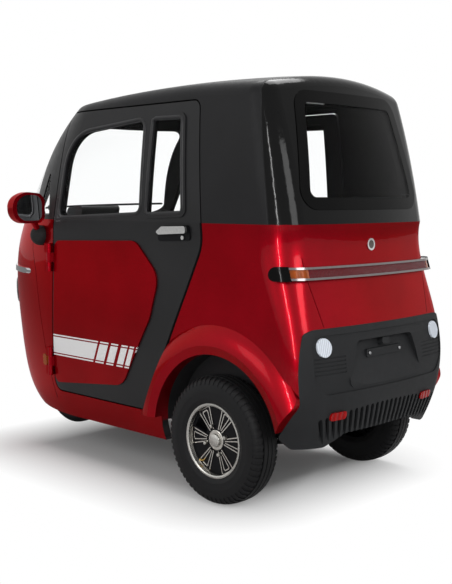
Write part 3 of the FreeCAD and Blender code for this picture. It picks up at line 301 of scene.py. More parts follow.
# The first colour here is painted shade for faces inside the cabin, darker than the satin outside.
INSIDE_SHADE, SATIN_ROUGH = (0.0012, 0.0012, 0.0012, 1), (0.36, 0.44)
SEAM_X, SEAM_Z, SEAM_LEAN = -0.909, 1.158, 0.146
KNUCKLE_X, KNUCKLE_OUT, KNUCKLE_HALF = 0.3685, 0.4583, 0.0212
HINGE_HEIGHTS = (0.43, 0.90)


def shell_black(name):
    made = Finish(name, Specular_IOR_Level=0.14)
    ahead = made.axis("X") - (made.axis("Z") - SEAM_Z) * SEAM_LEAN
    back = made.spread(ahead, SEAM_X - 0.002, SEAM_X + 0.002, 1.0, 0.0)
    inside = made.inward(CABIN_MIDDLE)
    outer = made.mix(back, made.mix(made.mottle(5.0), SATIN, shade(SATIN, 1.35)), POLISHED)
    # Inside faces get the painted shade.
    made.set("Base Color", made.mix(inside, outer, INSIDE_SHADE))
    made.set("Roughness", made.mottle(40.0, *SATIN_ROUGH) - back * 0.30 + inside * 0.5)
    made.bump(made.noise(60.0, 2.0) * 0.12 - made.band(ahead, SEAM_X, SEAM_X + 0.004, 0.0015), 0.0015)
    return made.material


def door_black(name):
    made = Finish(name, Specular_IOR_Level=0.22)
    outside = made.spread(made.axis("Y").math("ABSOLUTE"), KNUCKLE_OUT, KNUCKLE_OUT + 0.0004)
    knuckle = outside * made.spread(made.axis("X"), KNUCKLE_X, KNUCKLE_X + 0.0004)
    height = made.axis("Z")
    lower, upper = (made.band(height, z - KNUCKLE_HALF, z + KNUCKLE_HALF) for z in HINGE_HEIGHTS)
    knuckle = knuckle * (lower + upper)
    inside = made.inward(CABIN_MIDDLE)
    # Inside faces get the painted shade.
    panel = made.mix(inside, made.mix(made.mottle(5.0), SATIN, shade(SATIN, 1.35)), INSIDE_SHADE)
    made.set("Base Color", made.mix(knuckle, panel, RED))
    made.set("Metallic", knuckle * 0.72)
    made.set("Roughness", made.mottle(40.0, *SATIN_ROUGH) + inside * 0.4)
    made.bump(made.noise(60.0, 2.0), 0.0002)
    return made.material


roof_black = shell_black("shell_black")
frame_black = door_black("door_black")
print("seam at", SEAM_X, "m; knuckles ahead of", KNUCKLE_X, "m")

# %% [markdown]
# ## Metals
# Chrome is fully metallic with a roughness that barely moves. Cast alloy is rougher, with a fine bump.

# %% Chrome, alloy and brass


def metal(name, colour, low, high, scale=60.0, depth=0.0):
    made = Finish(name, Metallic=1.0)
    noise = made.noise(scale)
    made.set("Base Color", made.mix(made.spread(noise, *NOISE_SPAN), colour, shade(colour, 0.86)))
    made.set("Roughness", made.spread(noise, *NOISE_SPAN, low, high))
    if depth:
        made.bump(noise, depth)
    return made.material


chrome = metal("chrome", (0.50, 0.50, 0.51, 1), 0.05, 0.12)
strip_chrome = metal("strip_chrome", (0.20, 0.18, 0.18, 1), 0.12, 0.20)
alloy = metal("polished_alloy", (0.52, 0.51, 0.48, 1), 0.22, 0.34, 200.0, 0.0001)
brass = metal("brass_valve", (0.72, 0.47, 0.14, 1), 0.25, 0.4)
mirror_face = metal("mirror_face", (0.85, 0.87, 0.9, 1), 0.01, 0.03, 10.0)

# %% [markdown]
# ## Two finishes on one casting
# A wheel is cast, painted gloss black and then turned bright where the tool reaches: the fins' tops,
# the hub and the lip. Height above the wheel's face tells bright from black. The door handle works
# the same way: the lever and the lock stand out of a black cup.

# %% Bright where it stands out


def two_tone(name, dark, bright, height, level, soft=0.0003):
    """A finish that is bright metal where height(finish) is over level, and dark paint elsewhere."""
    made = Finish(name, Specular_IOR_Level=0.08)
    out = made.spread(height(made), level - soft, level + soft)
    grain = made.noise(160.0)
    metal_colour = made.mix(made.spread(grain, *NOISE_SPAN), bright, shade(bright, 0.85))
    made.set("Base Color", made.mix(out, dark, metal_colour))
    made.set("Metallic", out)
    made.set("Roughness", 0.32 - out * 0.12 + made.spread(grain, *NOISE_SPAN, 0.0, 0.06))
    return made.material


BLACK_PAINT = (0.006, 0.006, 0.007, 1)
TURNED, BRIGHT = (0.58, 0.56, 0.52, 1), (0.84, 0.84, 0.83, 1)
# The wheel's disc lies this far inside its edge, and the fins' tops this far out from the disc.
DISC_DEPTH, FIN_LEVEL = 0.022, 0.0045
HANDLE_OUT = 0.4662


def face_level(rim, side):
    """How far out the turned faces of a wheel begin."""
    low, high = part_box(rim)
    edge = high.y if side > 0 else -low.y
    return edge - DISC_DEPTH + FIN_LEVEL


def turned_wheel(rim, side):
    level = face_level(rim, side)
    return two_tone("cast_" + rim, BLACK_PAINT, TURNED, lambda made: made.axis("Y") * side, level)


WHEEL_SIDES = (("rear_rim_left", 1), ("rear_rim_right", -1), ("front_rim", 1))
cast_wheel = {rim: turned_wheel(rim, side) for rim, side in WHEEL_SIDES}
handle_finish = two_tone("handle_two_tone", BLACK_PAINT, BRIGHT,
                         lambda made: made.axis("Y").math("ABSOLUTE"), HANDLE_OUT)
print("turned faces begin at", [round(face_level(*pair), 4) for pair in WHEEL_SIDES])

# %% [markdown]
# ## Glazing and lamp lenses
# The panes are thin and nearly clear. A Mix Shader between Transparent and Glossy lets the light into
# the cabin, which a refracting pane would hold back. The share that is mirrored rises with the fifth
# power of the slant, which is near to how real glass does, and is the same from both sides.

# %% Glass


def pane(name, tint, floor=0.0):
    made = Finish(name)
    clear = made.node("ShaderNodeBsdfTransparent", sockets={0: tint})
    shine = made.node("ShaderNodeBsdfGlossy", sockets={"Roughness": 0.02})
    slant = made.node("ShaderNodeLayerWeight", sockets={"Blend": 0.5}, output="Facing")
    amount = slant.math("POWER", 5.0) * 0.35 + made.mottle(2.0, floor, floor + 0.002)
    mixed = made.node("ShaderNodeMixShader", sockets={0: amount, 1: clear, 2: shine})
    output = made.tree.nodes["Material Output"]
    made.tree.links.new(mixed.socket, output.inputs["Surface"])
    return made.material


def lens(name, colour, glow=0.0, rib_scale=260.0, rough=0.12):
    """A moulded lens: coloured plastic with fine upright ribs, and a faint painted glow where glow is
    given.
    """
    made = Finish(name, Specular_IOR_Level=0.08, Coat_Weight=0.06, Coat_Roughness=0.04)
    across = made.axis("Y") * rib_scale
    rib = across.math("SINE")
    made.set("Base Color", made.mix(made.spread(rib, -1.0, 1.0), colour, shade(colour, 1.4)))
    made.set("Roughness", made.mottle(30.0, rough, rough + 0.06))
    made.bump(rib, 0.0008)
    # The glow is painted light: the lens shines in its own colour by emission.
    if glow:
        made.set("Emission Color", colour)
        made.shader.inputs["Emission Strength"].default_value = glow
    return made.material


# Shares of a radius where the badge's rim begins, and where the headlamp's bright middle ends and its
# dark rim begins. Each pair holds the two ends of the blend.
BADGE_RIM = (0.66, 0.72)
LAMP_MIDDLE, LAMP_RIM, LAMP_RINGS = (0.24, 0.30), (0.84, 0.88), 46.0


def disc_face(name):
    """A bare round badge: a bright rim round a darker middle with a mottled roughness."""
    low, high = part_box("tail_disc")
    made = Finish(name, Metallic=1.0)
    up, across = made.axis("Z") - (low.z + high.z) / 2, made.axis("Y") - (low.y + high.y) / 2
    away = (across * across + up * up).math("SQRT") / ((high.z - low.z) / 2)
    rim = made.spread(away, *BADGE_RIM)
    made.set("Base Color", made.mix(rim, (0.11, 0.10, 0.09, 1), (0.60, 0.60, 0.60, 1)))
    made.set("Roughness", made.mottle(90.0, 0.14, 0.26))
    return made.material


def headlamp_face(name):
    """A clear lens over a bowl: a bright middle, fine rings, and a dark rim."""
    low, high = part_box("headlamps")
    made = Finish(name, Specular_IOR_Level=0.4, Coat_Weight=0.3, Coat_Roughness=0.03)
    middle_y = (low.y + high.y) / 2
    reach = (high.z - low.z) / 2
    across = (made.axis("Y") - middle_y).math("ABSOLUTE") - (high.y - middle_y - reach)
    up = made.axis("Z") - (low.z + high.z) / 2
    away = (across * across + up * up).math("SQRT") / reach
    ring = (away * LAMP_RINGS).math("SINE")
    bowl = made.mix(made.spread(ring, -1.0, 1.0), (0.30, 0.31, 0.33, 1), (0.66, 0.68, 0.71, 1))
    bowl = made.mix(made.spread(away, *LAMP_MIDDLE, 1.0, 0.0), bowl, (0.86, 0.87, 0.88, 1))
    made.set("Base Color", made.mix(made.spread(away, *LAMP_RIM), bowl, (0.02, 0.02, 0.022, 1)))
    made.set("Roughness", made.mottle(30.0, 0.10, 0.16))
    made.bump(ring, 0.0006)
    return made.material


clear_glass = pane("clear_glass", (0.996, 0.999, 0.999, 1), 0.001)
red_lens = lens("red_lens", (0.24, 0.001, 0.001, 1))
strip_lens = lens("strip_lens", (0.10, 0.006, 0.010, 1), rib_scale=900.0)
# The amber and white lenses carry a faint painted glow.
amber_lens = lens("amber_lens", (0.27, 0.055, 0.008, 1), 0.03)
white_lens = lens("white_lens", (0.58, 0.62, 0.68, 1), 0.06, rib_scale=700.0)

# %% [markdown]
# ## Upholstery
# The seat covering is a grained artificial leather: cells from a Voronoi texture as bump.

# %% Seat covering


def leather(name, colour):
    made = Finish(name)
    cells = made.node("ShaderNodeTexVoronoi", sockets={"Vector": made.place(), "Scale": 420.0})
    cloud = made.noise(6.0)
    made.set("Base Color", made.mix(made.spread(cloud, *NOISE_SPAN), colour, shade(colour, 1.6)))
    made.set("Roughness", made.spread(cloud, *NOISE_SPAN, 0.42, 0.55))
    made.bump(cells, 0.0006)
    return made.material


seat_leather = leather("seat_leather", (0.020, 0.020, 0.023, 1))

# %% [markdown]
# ## Dressing the solids
# Most solids keep their own shape, so all they need is a material in their slot.

# %% One finish for each carried-over node
DRESS = (
    (candy_red, ("mirrors", "door_hinges")),
    (candy_inside_shaded, ("nose_shell", "rear_body", "sills")),
    (candy_striped, ("door_skin_left", "door_skin_right")),
    (roof_black, ("roof_shell",)),
    (frame_black, ("door_frame_left", "door_frame_right")),
    (gloss_black, ("rear_window_surround", "light_strip_caps")),
    (clear_glass, ("windscreen", "front_quarter_glass", "door_glass_left", "door_glass_right",
                   "rear_window")),
    (bumper_grain, ("bumper", "plate_bracket")),
    (white_lens, ("rear_lamps",)),
    (headlamp_face("headlamp_face"), ("headlamps",)),
    (red_lens, ("reflectors",)),
    (strip_lens, ("light_strip_lens",)),
    (amber_lens, ("amber_lenses",)),
    (chrome, ("nose_trim",)),
    (disc_face("badge_face"), ("tail_disc",)),
    (strip_chrome, ("light_strip_trim",)),
    (handle_finish, ("door_handle_left", "door_handle_right")),
    (mirror_face, ("mirror_glasses",)),
    (inner_black, ("wiper", "inner_arches", "dashboard", "cabin_tub")),
    (steel_black, ("chassis_frame", "cross_members", "spring_hangers", "steering_neck", "leaf_springs",
                   "rear_axle", "fork")),
    (case_grey, ("battery_block",)),
    (soft_black, ("handlebar", "mirror_boots")),
)


def wear(obj, material):
    obj.data.materials.clear()
    obj.data.materials.append(material)


for material, names in DRESS:
    for name in names:
        wear(nodes[name], material)
for rim_name, material in cast_wheel.items():
    wear(nodes[rim_name], material)
print("dressed", sum(len(names) for _, names in DRESS) + len(cast_wheel), "of", len(nodes), "nodes")

# %% [markdown]
# ## Building pieces
# A new piece is made with bmesh operators and put in the scene by `finished`, which recalculates its
# normals. Turned things, such as tyres, caps and nuts, come from one helper: it draws half of a
# section, as (radius, distance out along the axle), and spins it round the axle.

# %% Helpers for new pieces


def finished(name, build, smooth=True):
    """The bmesh as an object at the origin, its place in its mesh."""
    bmesh.ops.remove_doubles(build, verts=build.verts, dist=0.00002)
    bmesh.ops.recalc_face_normals(build, faces=build.faces)
    mesh = bpy.data.meshes.new(name)
    build.to_mesh(mesh)
    build.free()
    for face in mesh.polygons:
        face.use_smooth = smooth
    obj = bpy.data.objects.new(name, mesh)
    bpy.context.scene.collection.objects.link(obj)
    return obj


def fit_out(obj, body, material):
    """Rides on its body, takes its slot and wears its finish."""
    wear(obj, material)
    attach(obj, body)
    return obj


def spin_section(build, section, centre, side, steps, closed):
    verts = [build.verts.new(centre + Vector((radius, side * out, 0))) for radius, out in section]
    pairs = list(zip(verts, verts[1:])) + ([(verts[-1], verts[0])] if closed else [])
    edges = [build.edges.new(pair) for pair in pairs]
    bmesh.ops.spin(build, geom=verts + edges, cent=centre, axis=(0, 1, 0), angle=2 * math.pi, steps=steps,
                   use_merge=True)


def soften_edges(obj, angle=35.0):
    """Smooth shading that stays sharp at edges over the angle."""
    obj.data.set_sharp_from_angle(angle=math.radians(angle))


def bevelled_nut(build, radius, top, tall, matrix, offset, segments):
    """A six-sided nut or bolt head, narrower at its top, with softened edges."""
    nut = bmesh.ops.create_cone(build, cap_ends=True, segments=6, radius1=radius, radius2=top, depth=tall,
                                matrix=matrix)
    edges = list({edge for vert in nut["verts"] for edge in vert.link_edges})
    bmesh.ops.bevel(build, geom=edges, offset=offset, segments=segments, profile=0.5, affect="EDGES",
                    material=-1)


# %% [markdown]
# ## Tyres
# A road tyre: a rounded sidewall with a raised ring, two grooves round the tread, and blocks on the
# shoulders. The section is drawn once as shares of the tyre's height and width and spun. Then every
# second face on the shoulders is sunk, with the two sides out of step, which cuts the blocks.

# %% Tyres
TYRE_SECTION = (
    # share of the height from rim to tread, share of the half width
    (0.00, 0.80), (0.06, 0.85), (0.10, 0.885), (0.16, 0.93), (0.19, 0.955), (0.22, 0.952), (0.42, 0.995),
    (0.44, 0.999), (0.46, 0.995), (0.56, 0.995),
    (0.60, 0.978), (0.70, 0.965), (0.80, 0.90), (0.88, 0.835), (0.945, 0.67), (0.975, 0.53), (0.965, 0.50),
    (0.93, 0.49), (0.93, 0.45), (0.985, 0.44), (0.998, 0.20), (0.94, 0.185), (0.94, 0.145), (0.998, 0.13),
)
SHOULDER_LOW, SHOULDER_HIGH = 0.72, 0.97
BLOCK_DEPTH, TYRE_STEPS = 0.0036, 120


def make_tyre(node, rim_node, body):
    low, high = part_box(node)
    rim_low, rim_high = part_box(rim_node)
    centre = (low + high) / 2
    radius, half = (high.z - low.z) / 2, (high.y - low.y) / 2
    rim = (rim_high.z - rim_low.z) / 2
    section = [(rim + up * (radius - rim), out * half) for up, out in TYRE_SECTION]
    section += [(far, -out) for far, out in reversed(section)]
    build = bmesh.new()
    spin_section(build, section, centre, 1, TYRE_STEPS, closed=True)
    bmesh.ops.remove_doubles(build, verts=build.verts, dist=0.00002)
    bmesh.ops.recalc_face_normals(build, faces=build.faces)
    sunk = []
    for face in build.faces:
        spot = face.calc_center_median() - centre
        share = (math.hypot(spot.x, spot.z) - rim) / (radius - rim)
        turn = math.atan2(spot.z, spot.x) / (2 * math.pi) * TYRE_STEPS
        step = math.floor(turn) + (0 if spot.y > 0 else 1)
        if SHOULDER_LOW < share < SHOULDER_HIGH and abs(spot.y) > 0.5 * half and step % 2:
            sunk.append(face)
    blocks = bmesh.ops.extrude_face_region(build, geom=sunk)
    moved = [item for item in blocks["geom"] if isinstance(item, bmesh.types.BMVert)]
    for vert in moved:
        spot = vert.co - centre
        inward = Vector((spot.x, 0, spot.z)).normalized() * BLOCK_DEPTH
        vert.co -= inward + Vector((0, math.copysign(0.25 * BLOCK_DEPTH, spot.y), 0))
    bmesh.ops.delete(build, geom=sunk, context="FACES_ONLY")
    obj = fit_out(finished(node + "_tread", build), body, rubber)
    soften_edges(obj)
    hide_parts(node)
    return obj


WHEELS = (
    # tyre, rim, body, side that it shows
    ("rear_tyre_left", "rear_rim_left", "rear_wheel_left", 1),
    ("rear_tyre_right", "rear_rim_right", "rear_wheel_right", -1),
    ("front_tyre", "front_rim", "front_wheel", 1),
)
for tyre, rim, body, side in WHEELS:
    made = make_tyre(tyre, rim, body)
    print(made.name, len(made.data.polygons), "faces")

# %% [markdown]
# ## Caps, nuts and valves
# Each wheel is held by four nuts round a plain bright cap. The nuts are six-sided cones with a bevel.
# A rounded bright ring finishes the lip, and a brass valve stands beside it.

# %% Wheel fittings
CAP_SECTION = (
    # radius, distance out from the cap's seat
    (0.0, 0.0130), (0.016, 0.0118), (0.024, 0.0085), (0.0265, 0.0040), (0.0270, -0.004), (0.0, -0.004),
)
LIP_SECTION = (
    # distance out from the rim's edge, first across the wheel and then along the axle
    (-0.0105, -0.0050), (-0.0095, 0.0005), (-0.0050, 0.0032), (0.0005, 0.0026), (0.0022, -0.0020),
)
CAP_SEAT, CAP_STEPS, LIP_STEPS = 0.006, 40, 96
NUT_CIRCLE, NUT_TURNS, NUT_SEAT = 0.056, (70, 160, 250, 340), 0.002
NUT_RADIUS, NUT_TOP, NUT_TALL = 0.0095, 0.0095 * 0.72, 0.014
VALVE_SHARE, VALVE_TURN, VALVE_LEAN, VALVE_SEAT = 0.80, -52.0, 22, 0.010
VALVE_FOOT, VALVE_TOP, VALVE_TALL = 0.0042, 0.0030, 0.026


def at_wheel(centre, circle, degrees, out, side):
    turn = math.radians(degrees)
    return centre + Vector((circle * math.cos(turn), side * out, circle * math.sin(turn)))


def make_fittings(rim, body, side):
    low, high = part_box(rim)
    centre = (low + high) / 2
    edge, rim_radius = (high.y - low.y) / 2, (high.z - low.z) / 2
    face = edge - DISC_DEPTH
    build = bmesh.new()
    cap_line = [(radius, out + face + CAP_SEAT) for radius, out in CAP_SECTION]
    spin_section(build, cap_line, centre, side, CAP_STEPS, closed=False)
    ring = [(rim_radius + radius, edge + out) for radius, out in LIP_SECTION]
    spin_section(build, ring, centre, side, LIP_STEPS, closed=True)
    lay = Matrix.Rotation(math.radians(-90 * side), 4, "X")
    for degrees in NUT_TURNS:
        spot = at_wheel(centre, NUT_CIRCLE, degrees, face + NUT_SEAT + NUT_TALL / 2, side)
        bevelled_nut(build, NUT_RADIUS, NUT_TOP, NUT_TALL, Matrix.Translation(spot) @ lay, 0.0012, 2)
    cap = fit_out(finished(body + "_cap_and_nuts", build), body, alloy)
    soften_edges(cap)
    build = bmesh.new()
    spot = at_wheel(centre, VALVE_SHARE * (high.z - low.z) / 2, VALVE_TURN, face + VALVE_SEAT, side)
    lean = Matrix.Rotation(math.radians(VALVE_LEAN * side), 4, "X")
    bmesh.ops.create_cone(build, cap_ends=True, segments=16, radius1=VALVE_FOOT, radius2=VALVE_TOP,
                          depth=VALVE_TALL, matrix=Matrix.Translation(spot) @ lean @ lay)
    valve = fit_out(finished(body + "_valve", build), body, brass)
    soften_edges(valve)


for tyre, rim, body, side in WHEELS:
    make_fittings(rim, body, side)
print("fittings on", len(WHEELS), "wheels")

# %% [markdown]
# ## Window seals
# Every door window sits in a raised, rounded surround. Its line is found from the door itself: rays are
# cast at the door from the side, and the edge of the opening is where they begin to hit. The surround's
# section is then laid along that line, each point resting on the door's curved face.

# %% Seals round the door windows
SEAL_STEPS, SEAL_SEARCH, SEARCH_STRIDE = 120, 14, 0.005
SEAL_SECTION = (
    # distance out from the opening's edge, height over the door's face
    (-0.0015, -0.0100), (-0.0015, 0.0010), (0.0020, 0.0032),
    (0.0090, 0.0036), (0.0130, 0.0022), (0.0150, -0.0015),
)
DOOR_WINDOWS = (
    # a place inside the opening, along and up; furthest reach of a ray from there
    (0.010, 1.260, 0.60),
    (-0.395, 1.280, 0.40),
)


def surface(tree, x, z, side):
    """Where a ray from the side meets the door, or None over the opening."""
    hit = tree.ray_cast(Vector((x, side * 1.5, z)), Vector((0, -side, 0)), 1.2)
    return hit[0]


def opening_edge(tree, x, z, reach, side):
    """The opening's outline: strides out to the first hit, then halves the last stride."""
    edge = []
    for step in range(SEAL_STEPS):
        turn = 2 * math.pi * step / SEAL_STEPS
        across, up = math.cos(turn), math.sin(turn)
        strides = range(2, int(reach / SEARCH_STRIDE))
        hits = (r * SEARCH_STRIDE for r in strides
                if surface(tree, x + across * r * SEARCH_STRIDE, z + up * r * SEARCH_STRIDE, side))
        far = next(hits)
        near = far - SEARCH_STRIDE
        for _ in range(SEAL_SEARCH):
            half = (near + far) / 2
            if surface(tree, x + across * half, z + up * half, side):
                far = half
            else:
                near = half
        edge.append(Vector((x + across * far, z + up * far)))
    return edge


def make_seals(node, side):
    door = nodes[node]
    tree = BVHTree.FromObject(door, bpy.context.evaluated_depsgraph_get())
    build = bmesh.new()
    for x, z, reach in DOOR_WINDOWS:
        edge = opening_edge(tree, x, z, reach, side)
        rings = []
        for step, spot in enumerate(edge):
            ahead, behind = edge[(step + 1) % SEAL_STEPS], edge[step - 1]
            way = (ahead - behind).normalized()
            outward = Vector((way.y, -way.x))
            face = surface(tree, *(spot + outward * 0.006), side)
            face = face or surface(tree, *(spot + outward * 0.002), side)
            places = [spot + outward * out for out, _ in SEAL_SECTION]
            rings.append([build.verts.new((place.x, face.y + side * up, place.y))
                          for place, (_, up) in zip(places, SEAL_SECTION)])
        for here, there in zip(rings, rings[1:] + rings[:1]):
            for step in range(len(here)):
                other = (step + 1) % len(here)
                build.faces.new((here[step], here[other], there[other], there[step]))
    obj = fit_out(finished(node.replace("frame", "window_seals"), build), node.replace("_frame", ""),
                  seal_rubber)
    soften_edges(obj, 50.0)


for node, side in (("door_frame_left", 1), ("door_frame_right", -1)):
    make_seals(node, side)
print("seals round", 2 * len(DOOR_WINDOWS), "windows")

# %% [markdown]
# ## Seats
# The driver's seat is a foam cushion and a backrest under artificial leather. Each starts as a box a
# little smaller than its solid, divided, pulled in at the sides and crowned in the middle. It is made
# of 6 mm cells, and then filled: cloth simulation with pressure from inside and no gravity lets the
# cover swell and settle into its own curves. No point may travel further than a cap. Then two sewn
# channels and the piping seam round its middle are pressed in, and the pad is fitted to the space of
# its solid. A subdivision smooths the last steps of the cells.

# %% Cushion and backrest
CELL, PRESSURE, FRAMES, CAP = 0.006, 4.0, 20, 0.014
CHANNEL_AT, CHANNEL_HALF, CHANNEL_DEPTH = 0.46, 0.045, 0.10
PIPING_HALF, PIPING_DEPTH = 0.09, 0.025
PAD_FIT = 0.992
PADS = (
    # solid, piece, how far the top slides back as a share of its depth, short axis
    ("seat_cushion", "driver_cushion", 0.0, 2),
    ("seat_back", "driver_backrest", 0.42, 0),
)


def pad_form():
    """A crowned pad about the origin, 1 from the middle to each side."""
    build = bmesh.new()
    bmesh.ops.create_cube(build, size=1.0)
    bmesh.ops.subdivide_edges(build, edges=build.edges, cuts=9, use_grid_fill=True)
    for vert in build.verts:
        x, y, z = vert.co * 2
        rim_y, rim_x, rim_z = 1 - abs(y) ** 4, 1 - abs(x) ** 4, 1 - abs(z) ** 4
        vert.co = Vector((x * (0.88 + 0.09 * rim_y * rim_z), y * (0.90 + 0.08 * rim_x * rim_z),
                          z * (0.86 + 0.12 * rim_x * rim_y)))
    return build


def evaluated_mesh(obj):
    return bpy.data.meshes.new_from_object(obj.evaluated_get(bpy.context.evaluated_depsgraph_get()))


def fill_with_cloth(obj):
    """Swell the cover by pressure, and keep the result in the mesh."""
    cells = obj.modifiers.new("cells", "REMESH")
    cells.mode, cells.voxel_size = "VOXEL", CELL
    fine = evaluated_mesh(obj)
    obj.modifiers.remove(cells)
    obj.data = fine
    before = [vert.co.copy() for vert in fine.vertices]
    cloth = obj.modifiers.new("cloth", "CLOTH")
    cloth.settings.use_pressure = True
    cloth.settings.uniform_pressure_force = PRESSURE
    cloth.settings.effector_weights.gravity = 0.0
    cloth.point_cache.frame_start, cloth.point_cache.frame_end = 1, FRAMES
    for step in range(1, FRAMES + 1):
        bpy.context.scene.frame_set(step)
    after = evaluated_mesh(obj)
    obj.modifiers.remove(cloth)
    for vert, was, now in zip(fine.vertices, before, after.vertices):
        way = now.co - was
        vert.co = was + way * min(1.0, CAP / max(way.length, 1e-9))
    bpy.data.meshes.remove(after)
    bpy.context.scene.frame_set(1)


def press_seams(obj, centre, span, thin):
    """Two channels along the pad's broad faces and a seam round its edge; thin is its short axis."""
    for vert in obj.data.vertices:
        place = Vector(((vert.co[i] - centre[i]) / (span[i] / 2) for i in range(3)))
        channel = math.exp(-((abs(place.y) - CHANNEL_AT) / CHANNEL_HALF) ** 2) * CHANNEL_DEPTH
        piping = math.exp(-(place[thin] / PIPING_HALF) ** 2) * PIPING_DEPTH
        vert.co[thin] = centre[thin] + (vert.co[thin] - centre[thin]) * (1 - channel)
        vert.co.y = centre.y + (vert.co.y - centre.y) * (1 - piping)


def make_pad(node, name, lean, thin):
    """A filled pad in the space of its solid; lean is how far its top slides back, as a share."""
    low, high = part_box(node)
    centre, span = (low + high) / 2, high - low
    upright = Vector((span.x * (1 - lean), span.y, span.z))
    build = pad_form()
    for vert in build.verts:
        vert.co = centre + Vector((vert.co.x * upright.x, vert.co.y * upright.y, vert.co.z * upright.z)) / 2
    obj = fit_out(finished(name, build), "body", seat_leather)
    fill_with_cloth(obj)
    wear(obj, seat_leather)
    press_seams(obj, centre, upright, thin)
    verts = obj.data.vertices
    least = [min(vert.co[i] for vert in verts) for i in range(3)]
    most = [max(vert.co[i] for vert in verts) for i in range(3)]
    for vert in verts:
        share = [(vert.co[i] - least[i]) / (most[i] - least[i]) - 0.5 for i in range(3)]
        fitted = Vector((share[0] * upright.x, share[1] * upright.y, share[2] * upright.z))
        vert.co = centre + fitted * PAD_FIT
        vert.co.x -= lean * span.x * share[2]
    for face in obj.data.polygons:
        face.use_smooth = True
    rounding = obj.modifiers.new("rounding", "SUBSURF")
    rounding.levels = rounding.render_levels = 1
    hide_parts(node)
    return obj


for node, name, lean, thin in PADS:
    pad = make_pad(node, name, lean, thin)
    print(pad.name, len(pad.data.polygons), "faces before the last subdivision")

# %% [markdown]
# ## Small things on the tail
# Two bright bolts wait in the plate holes. Place, direction and spacing are read from the mount.

# %% Plate bolts
PLATE_MOUNT = frame["record"]["mounts"][0]
BOLT_SPACING = PLATE_MOUNT["dims"]["spacing_x_mm"] / 1000
HEAD_RADIUS, HEAD_TOP, HEAD_TALL = 0.0075, 0.0068, 0.005
SHANK_RADIUS, SHANK_LONG, SHANK_IN = 0.0034, 0.011, 0.004


def make_plate_fittings():
    place, axis = Vector(PLATE_MOUNT["pos_m"]), Vector(PLATE_MOUNT["axis"]).normalized()
    turn = Vector((0, 0, 1)).rotation_difference(axis).to_matrix().to_4x4()
    build = bmesh.new()
    for y in (-BOLT_SPACING / 2, BOLT_SPACING / 2):
        head = place + Vector((0, y, 0)) + axis * HEAD_TALL / 2
        bevelled_nut(build, HEAD_RADIUS, HEAD_TOP, HEAD_TALL, Matrix.Translation(head) @ turn, 0.0008, 1)
        shank = Matrix.Translation(head - axis * SHANK_IN) @ turn
        bmesh.ops.create_cone(build, cap_ends=True, segments=16, radius1=SHANK_RADIUS, radius2=SHANK_RADIUS,
                              depth=SHANK_LONG, matrix=shank)
    bolts = fit_out(finished("plate_bolts", build), "body", chrome)
    soften_edges(bolts)


make_plate_fittings()
print("plate bolts", BOLT_SPACING, "m apart")

# %% [markdown]
# ## Camera
# The camera stands where the photograph was taken from, behind the car on its left. Its place and
# direction were found from the outlines of the three wheels.

# %% Camera
PHOTO_WIDTH, PHOTO_HEIGHT = 452, 584
CAMERA_PLACE = Vector((-3.2445, 3.0212, 1.1624))
CAMERA_HEADING, CAMERA_DIP = math.radians(-45.35), math.radians(5.229)
FOCAL_PIXELS, AXIS_ROW = 971.24, 287.6
SENSOR = 36.0


def make_camera():
    data = bpy.data.cameras.new("camera")
    data.sensor_width = SENSOR
    data.lens = FOCAL_PIXELS / PHOTO_HEIGHT * SENSOR
    data.shift_y = (AXIS_ROW - PHOTO_HEIGHT / 2) / PHOTO_HEIGHT
    obj = bpy.data.objects.new("camera", data)
    bpy.context.scene.collection.objects.link(obj)
    obj.location = CAMERA_PLACE
    aim = Vector((math.cos(CAMERA_HEADING) * math.cos(CAMERA_DIP),
                  math.sin(CAMERA_HEADING) * math.cos(CAMERA_DIP), -math.sin(CAMERA_DIP)))
    obj.rotation_euler = aim.to_track_quat("-Z", "Y").to_euler()
    bpy.context.scene.camera = obj
    return obj


camera = make_camera()
print("camera lens", round(camera.data.lens, 2))

# %% [markdown]
# ## Floor, backdrop and light
# A white room. The camera, glossy and transmitted rays see the room at a strength of 1, and the rest
# of the light is softer. For the camera the floor glows a little, and it fades to plain white with the
# distance from the car's footprint, so that only the car's own shadow shows on it. Large soft lamps
# stand above, behind and to the left, and a narrow one draws the upright streak on the rear corner.

# %% Stage
FLOOR_GLOW, ROOM_LIGHT = 0.02, 0.35
SHADE_MIDDLE, FOOTPRINT = (-0.04, 0.0, 0.0), (0.58, 0.36, 0.0)
FADE_FROM, FADE_TO = 0.02, 0.46


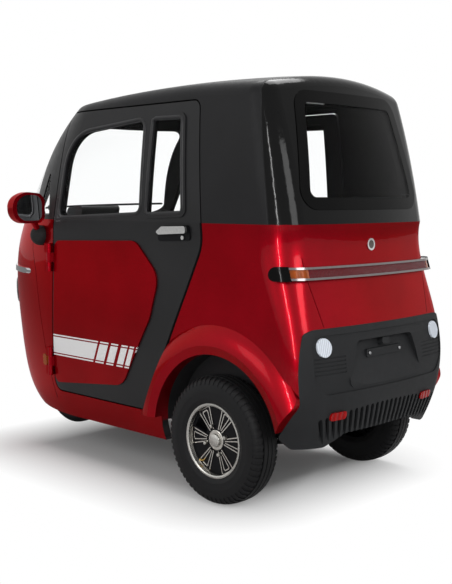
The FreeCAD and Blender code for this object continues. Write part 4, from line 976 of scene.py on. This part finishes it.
def make_floor():
    """A white floor: shaded near the car, and fading to plain white outside its shadow's reach."""
    build = bmesh.new()
    bmesh.ops.create_grid(build, x_segments=1, y_segments=1, size=40.0)
    obj = finished("floor", build)
    finish = Finish("floor_white", Roughness=1.0, Specular_IOR_Level=0.0)
    finish.set("Base Color", finish.mix(finish.noise(0.4), (0.80, 0.80, 0.80, 1), (0.82, 0.82, 0.82, 1)))
    shaded = Value(finish, finish.shader.outputs[0])
    glow = finish.node("ShaderNodeEmission", sockets={"Color": (1, 1, 1, 1), "Strength": FLOOR_GLOW})
    near = finish.node("ShaderNodeAddShader", sockets={0: shaded, 1: glow})
    white = finish.node("ShaderNodeEmission", sockets={"Color": (1, 1, 1, 1), "Strength": 1.0})
    spot = finish.vector_math("ABSOLUTE", finish.vector_math("SUBTRACT", finish.place(), SHADE_MIDDLE))
    past = finish.vector_math("MAXIMUM", finish.vector_math("SUBTRACT", spot, FOOTPRINT), (0, 0, 0))
    away = finish.vector_math("LENGTH", past, output="Value")
    fade = finish.spread(away, FADE_FROM, FADE_TO)
    seen = finish.node("ShaderNodeLightPath", output="Is Camera Ray")
    faded = finish.node("ShaderNodeMixShader", sockets={0: fade, 1: near, 2: white})
    shown = finish.node("ShaderNodeMixShader", sockets={0: seen, 1: shaded, 2: faded})
    finish.tree.links.new(shown.socket, finish.tree.nodes["Material Output"].inputs["Surface"])
    wear(obj, finish.material)


def make_world(soft):
    world = bpy.data.worlds.new("studio")
    bpy.context.scene.world = world
    world.use_nodes = True
    tree = world.node_tree
    path = tree.nodes.new("ShaderNodeLightPath")
    seen = path.outputs["Is Camera Ray"]
    for ray in ("Is Glossy Ray", "Is Transmission Ray"):
        either = tree.nodes.new("ShaderNodeMath")
        either.operation = "MAXIMUM"
        tree.links.new(seen, either.inputs[0])
        tree.links.new(path.outputs[ray], either.inputs[1])
        seen = either.outputs[0]
    level = tree.nodes.new("ShaderNodeMapRange")
    tree.links.new(seen, level.inputs[0])
    level.inputs[3].default_value, level.inputs[4].default_value = soft, 1.0
    back = tree.nodes["Background"]
    back.inputs["Color"].default_value = (1, 1, 1, 1)
    tree.links.new(level.outputs[0], back.inputs["Strength"])


def make_lamp(name, place, aim, size, power):
    data = bpy.data.lights.new(name, "AREA")
    data.shape, data.size, data.size_y = "RECTANGLE", size[0], size[1]
    data.energy = power
    obj = bpy.data.objects.new(name, data)
    bpy.context.scene.collection.objects.link(obj)
    obj.location = place
    obj.rotation_euler = (Vector(aim) - Vector(place)).to_track_quat("-Z", "Y").to_euler()


LAMPS = (
    # name, place, aim, size, power
    ("top", (-0.2, -0.9, 4.2), (-0.1, 0, 0.8), (2.6, 1.8), 100),
    ("behind", (-4.4, 0.8, 2.4), (-0.4, 0, 0.8), (1.4, 1.4), 40),
    ("strip", (-2.45, 3.5, 1.7), (-0.8, 0.3, 0.9), (0.06, 2.4), 44),
    ("left", (0.6, 4.6, 2.5), (0, 0, 0.8), (2.0, 1.6), 22),
)
make_floor()
make_world(ROOM_LIGHT)
for lamp in LAMPS:
    make_lamp(*lamp)
bpy.context.scene.view_settings.view_transform = "Standard"
print("lamps:", len(LAMPS))
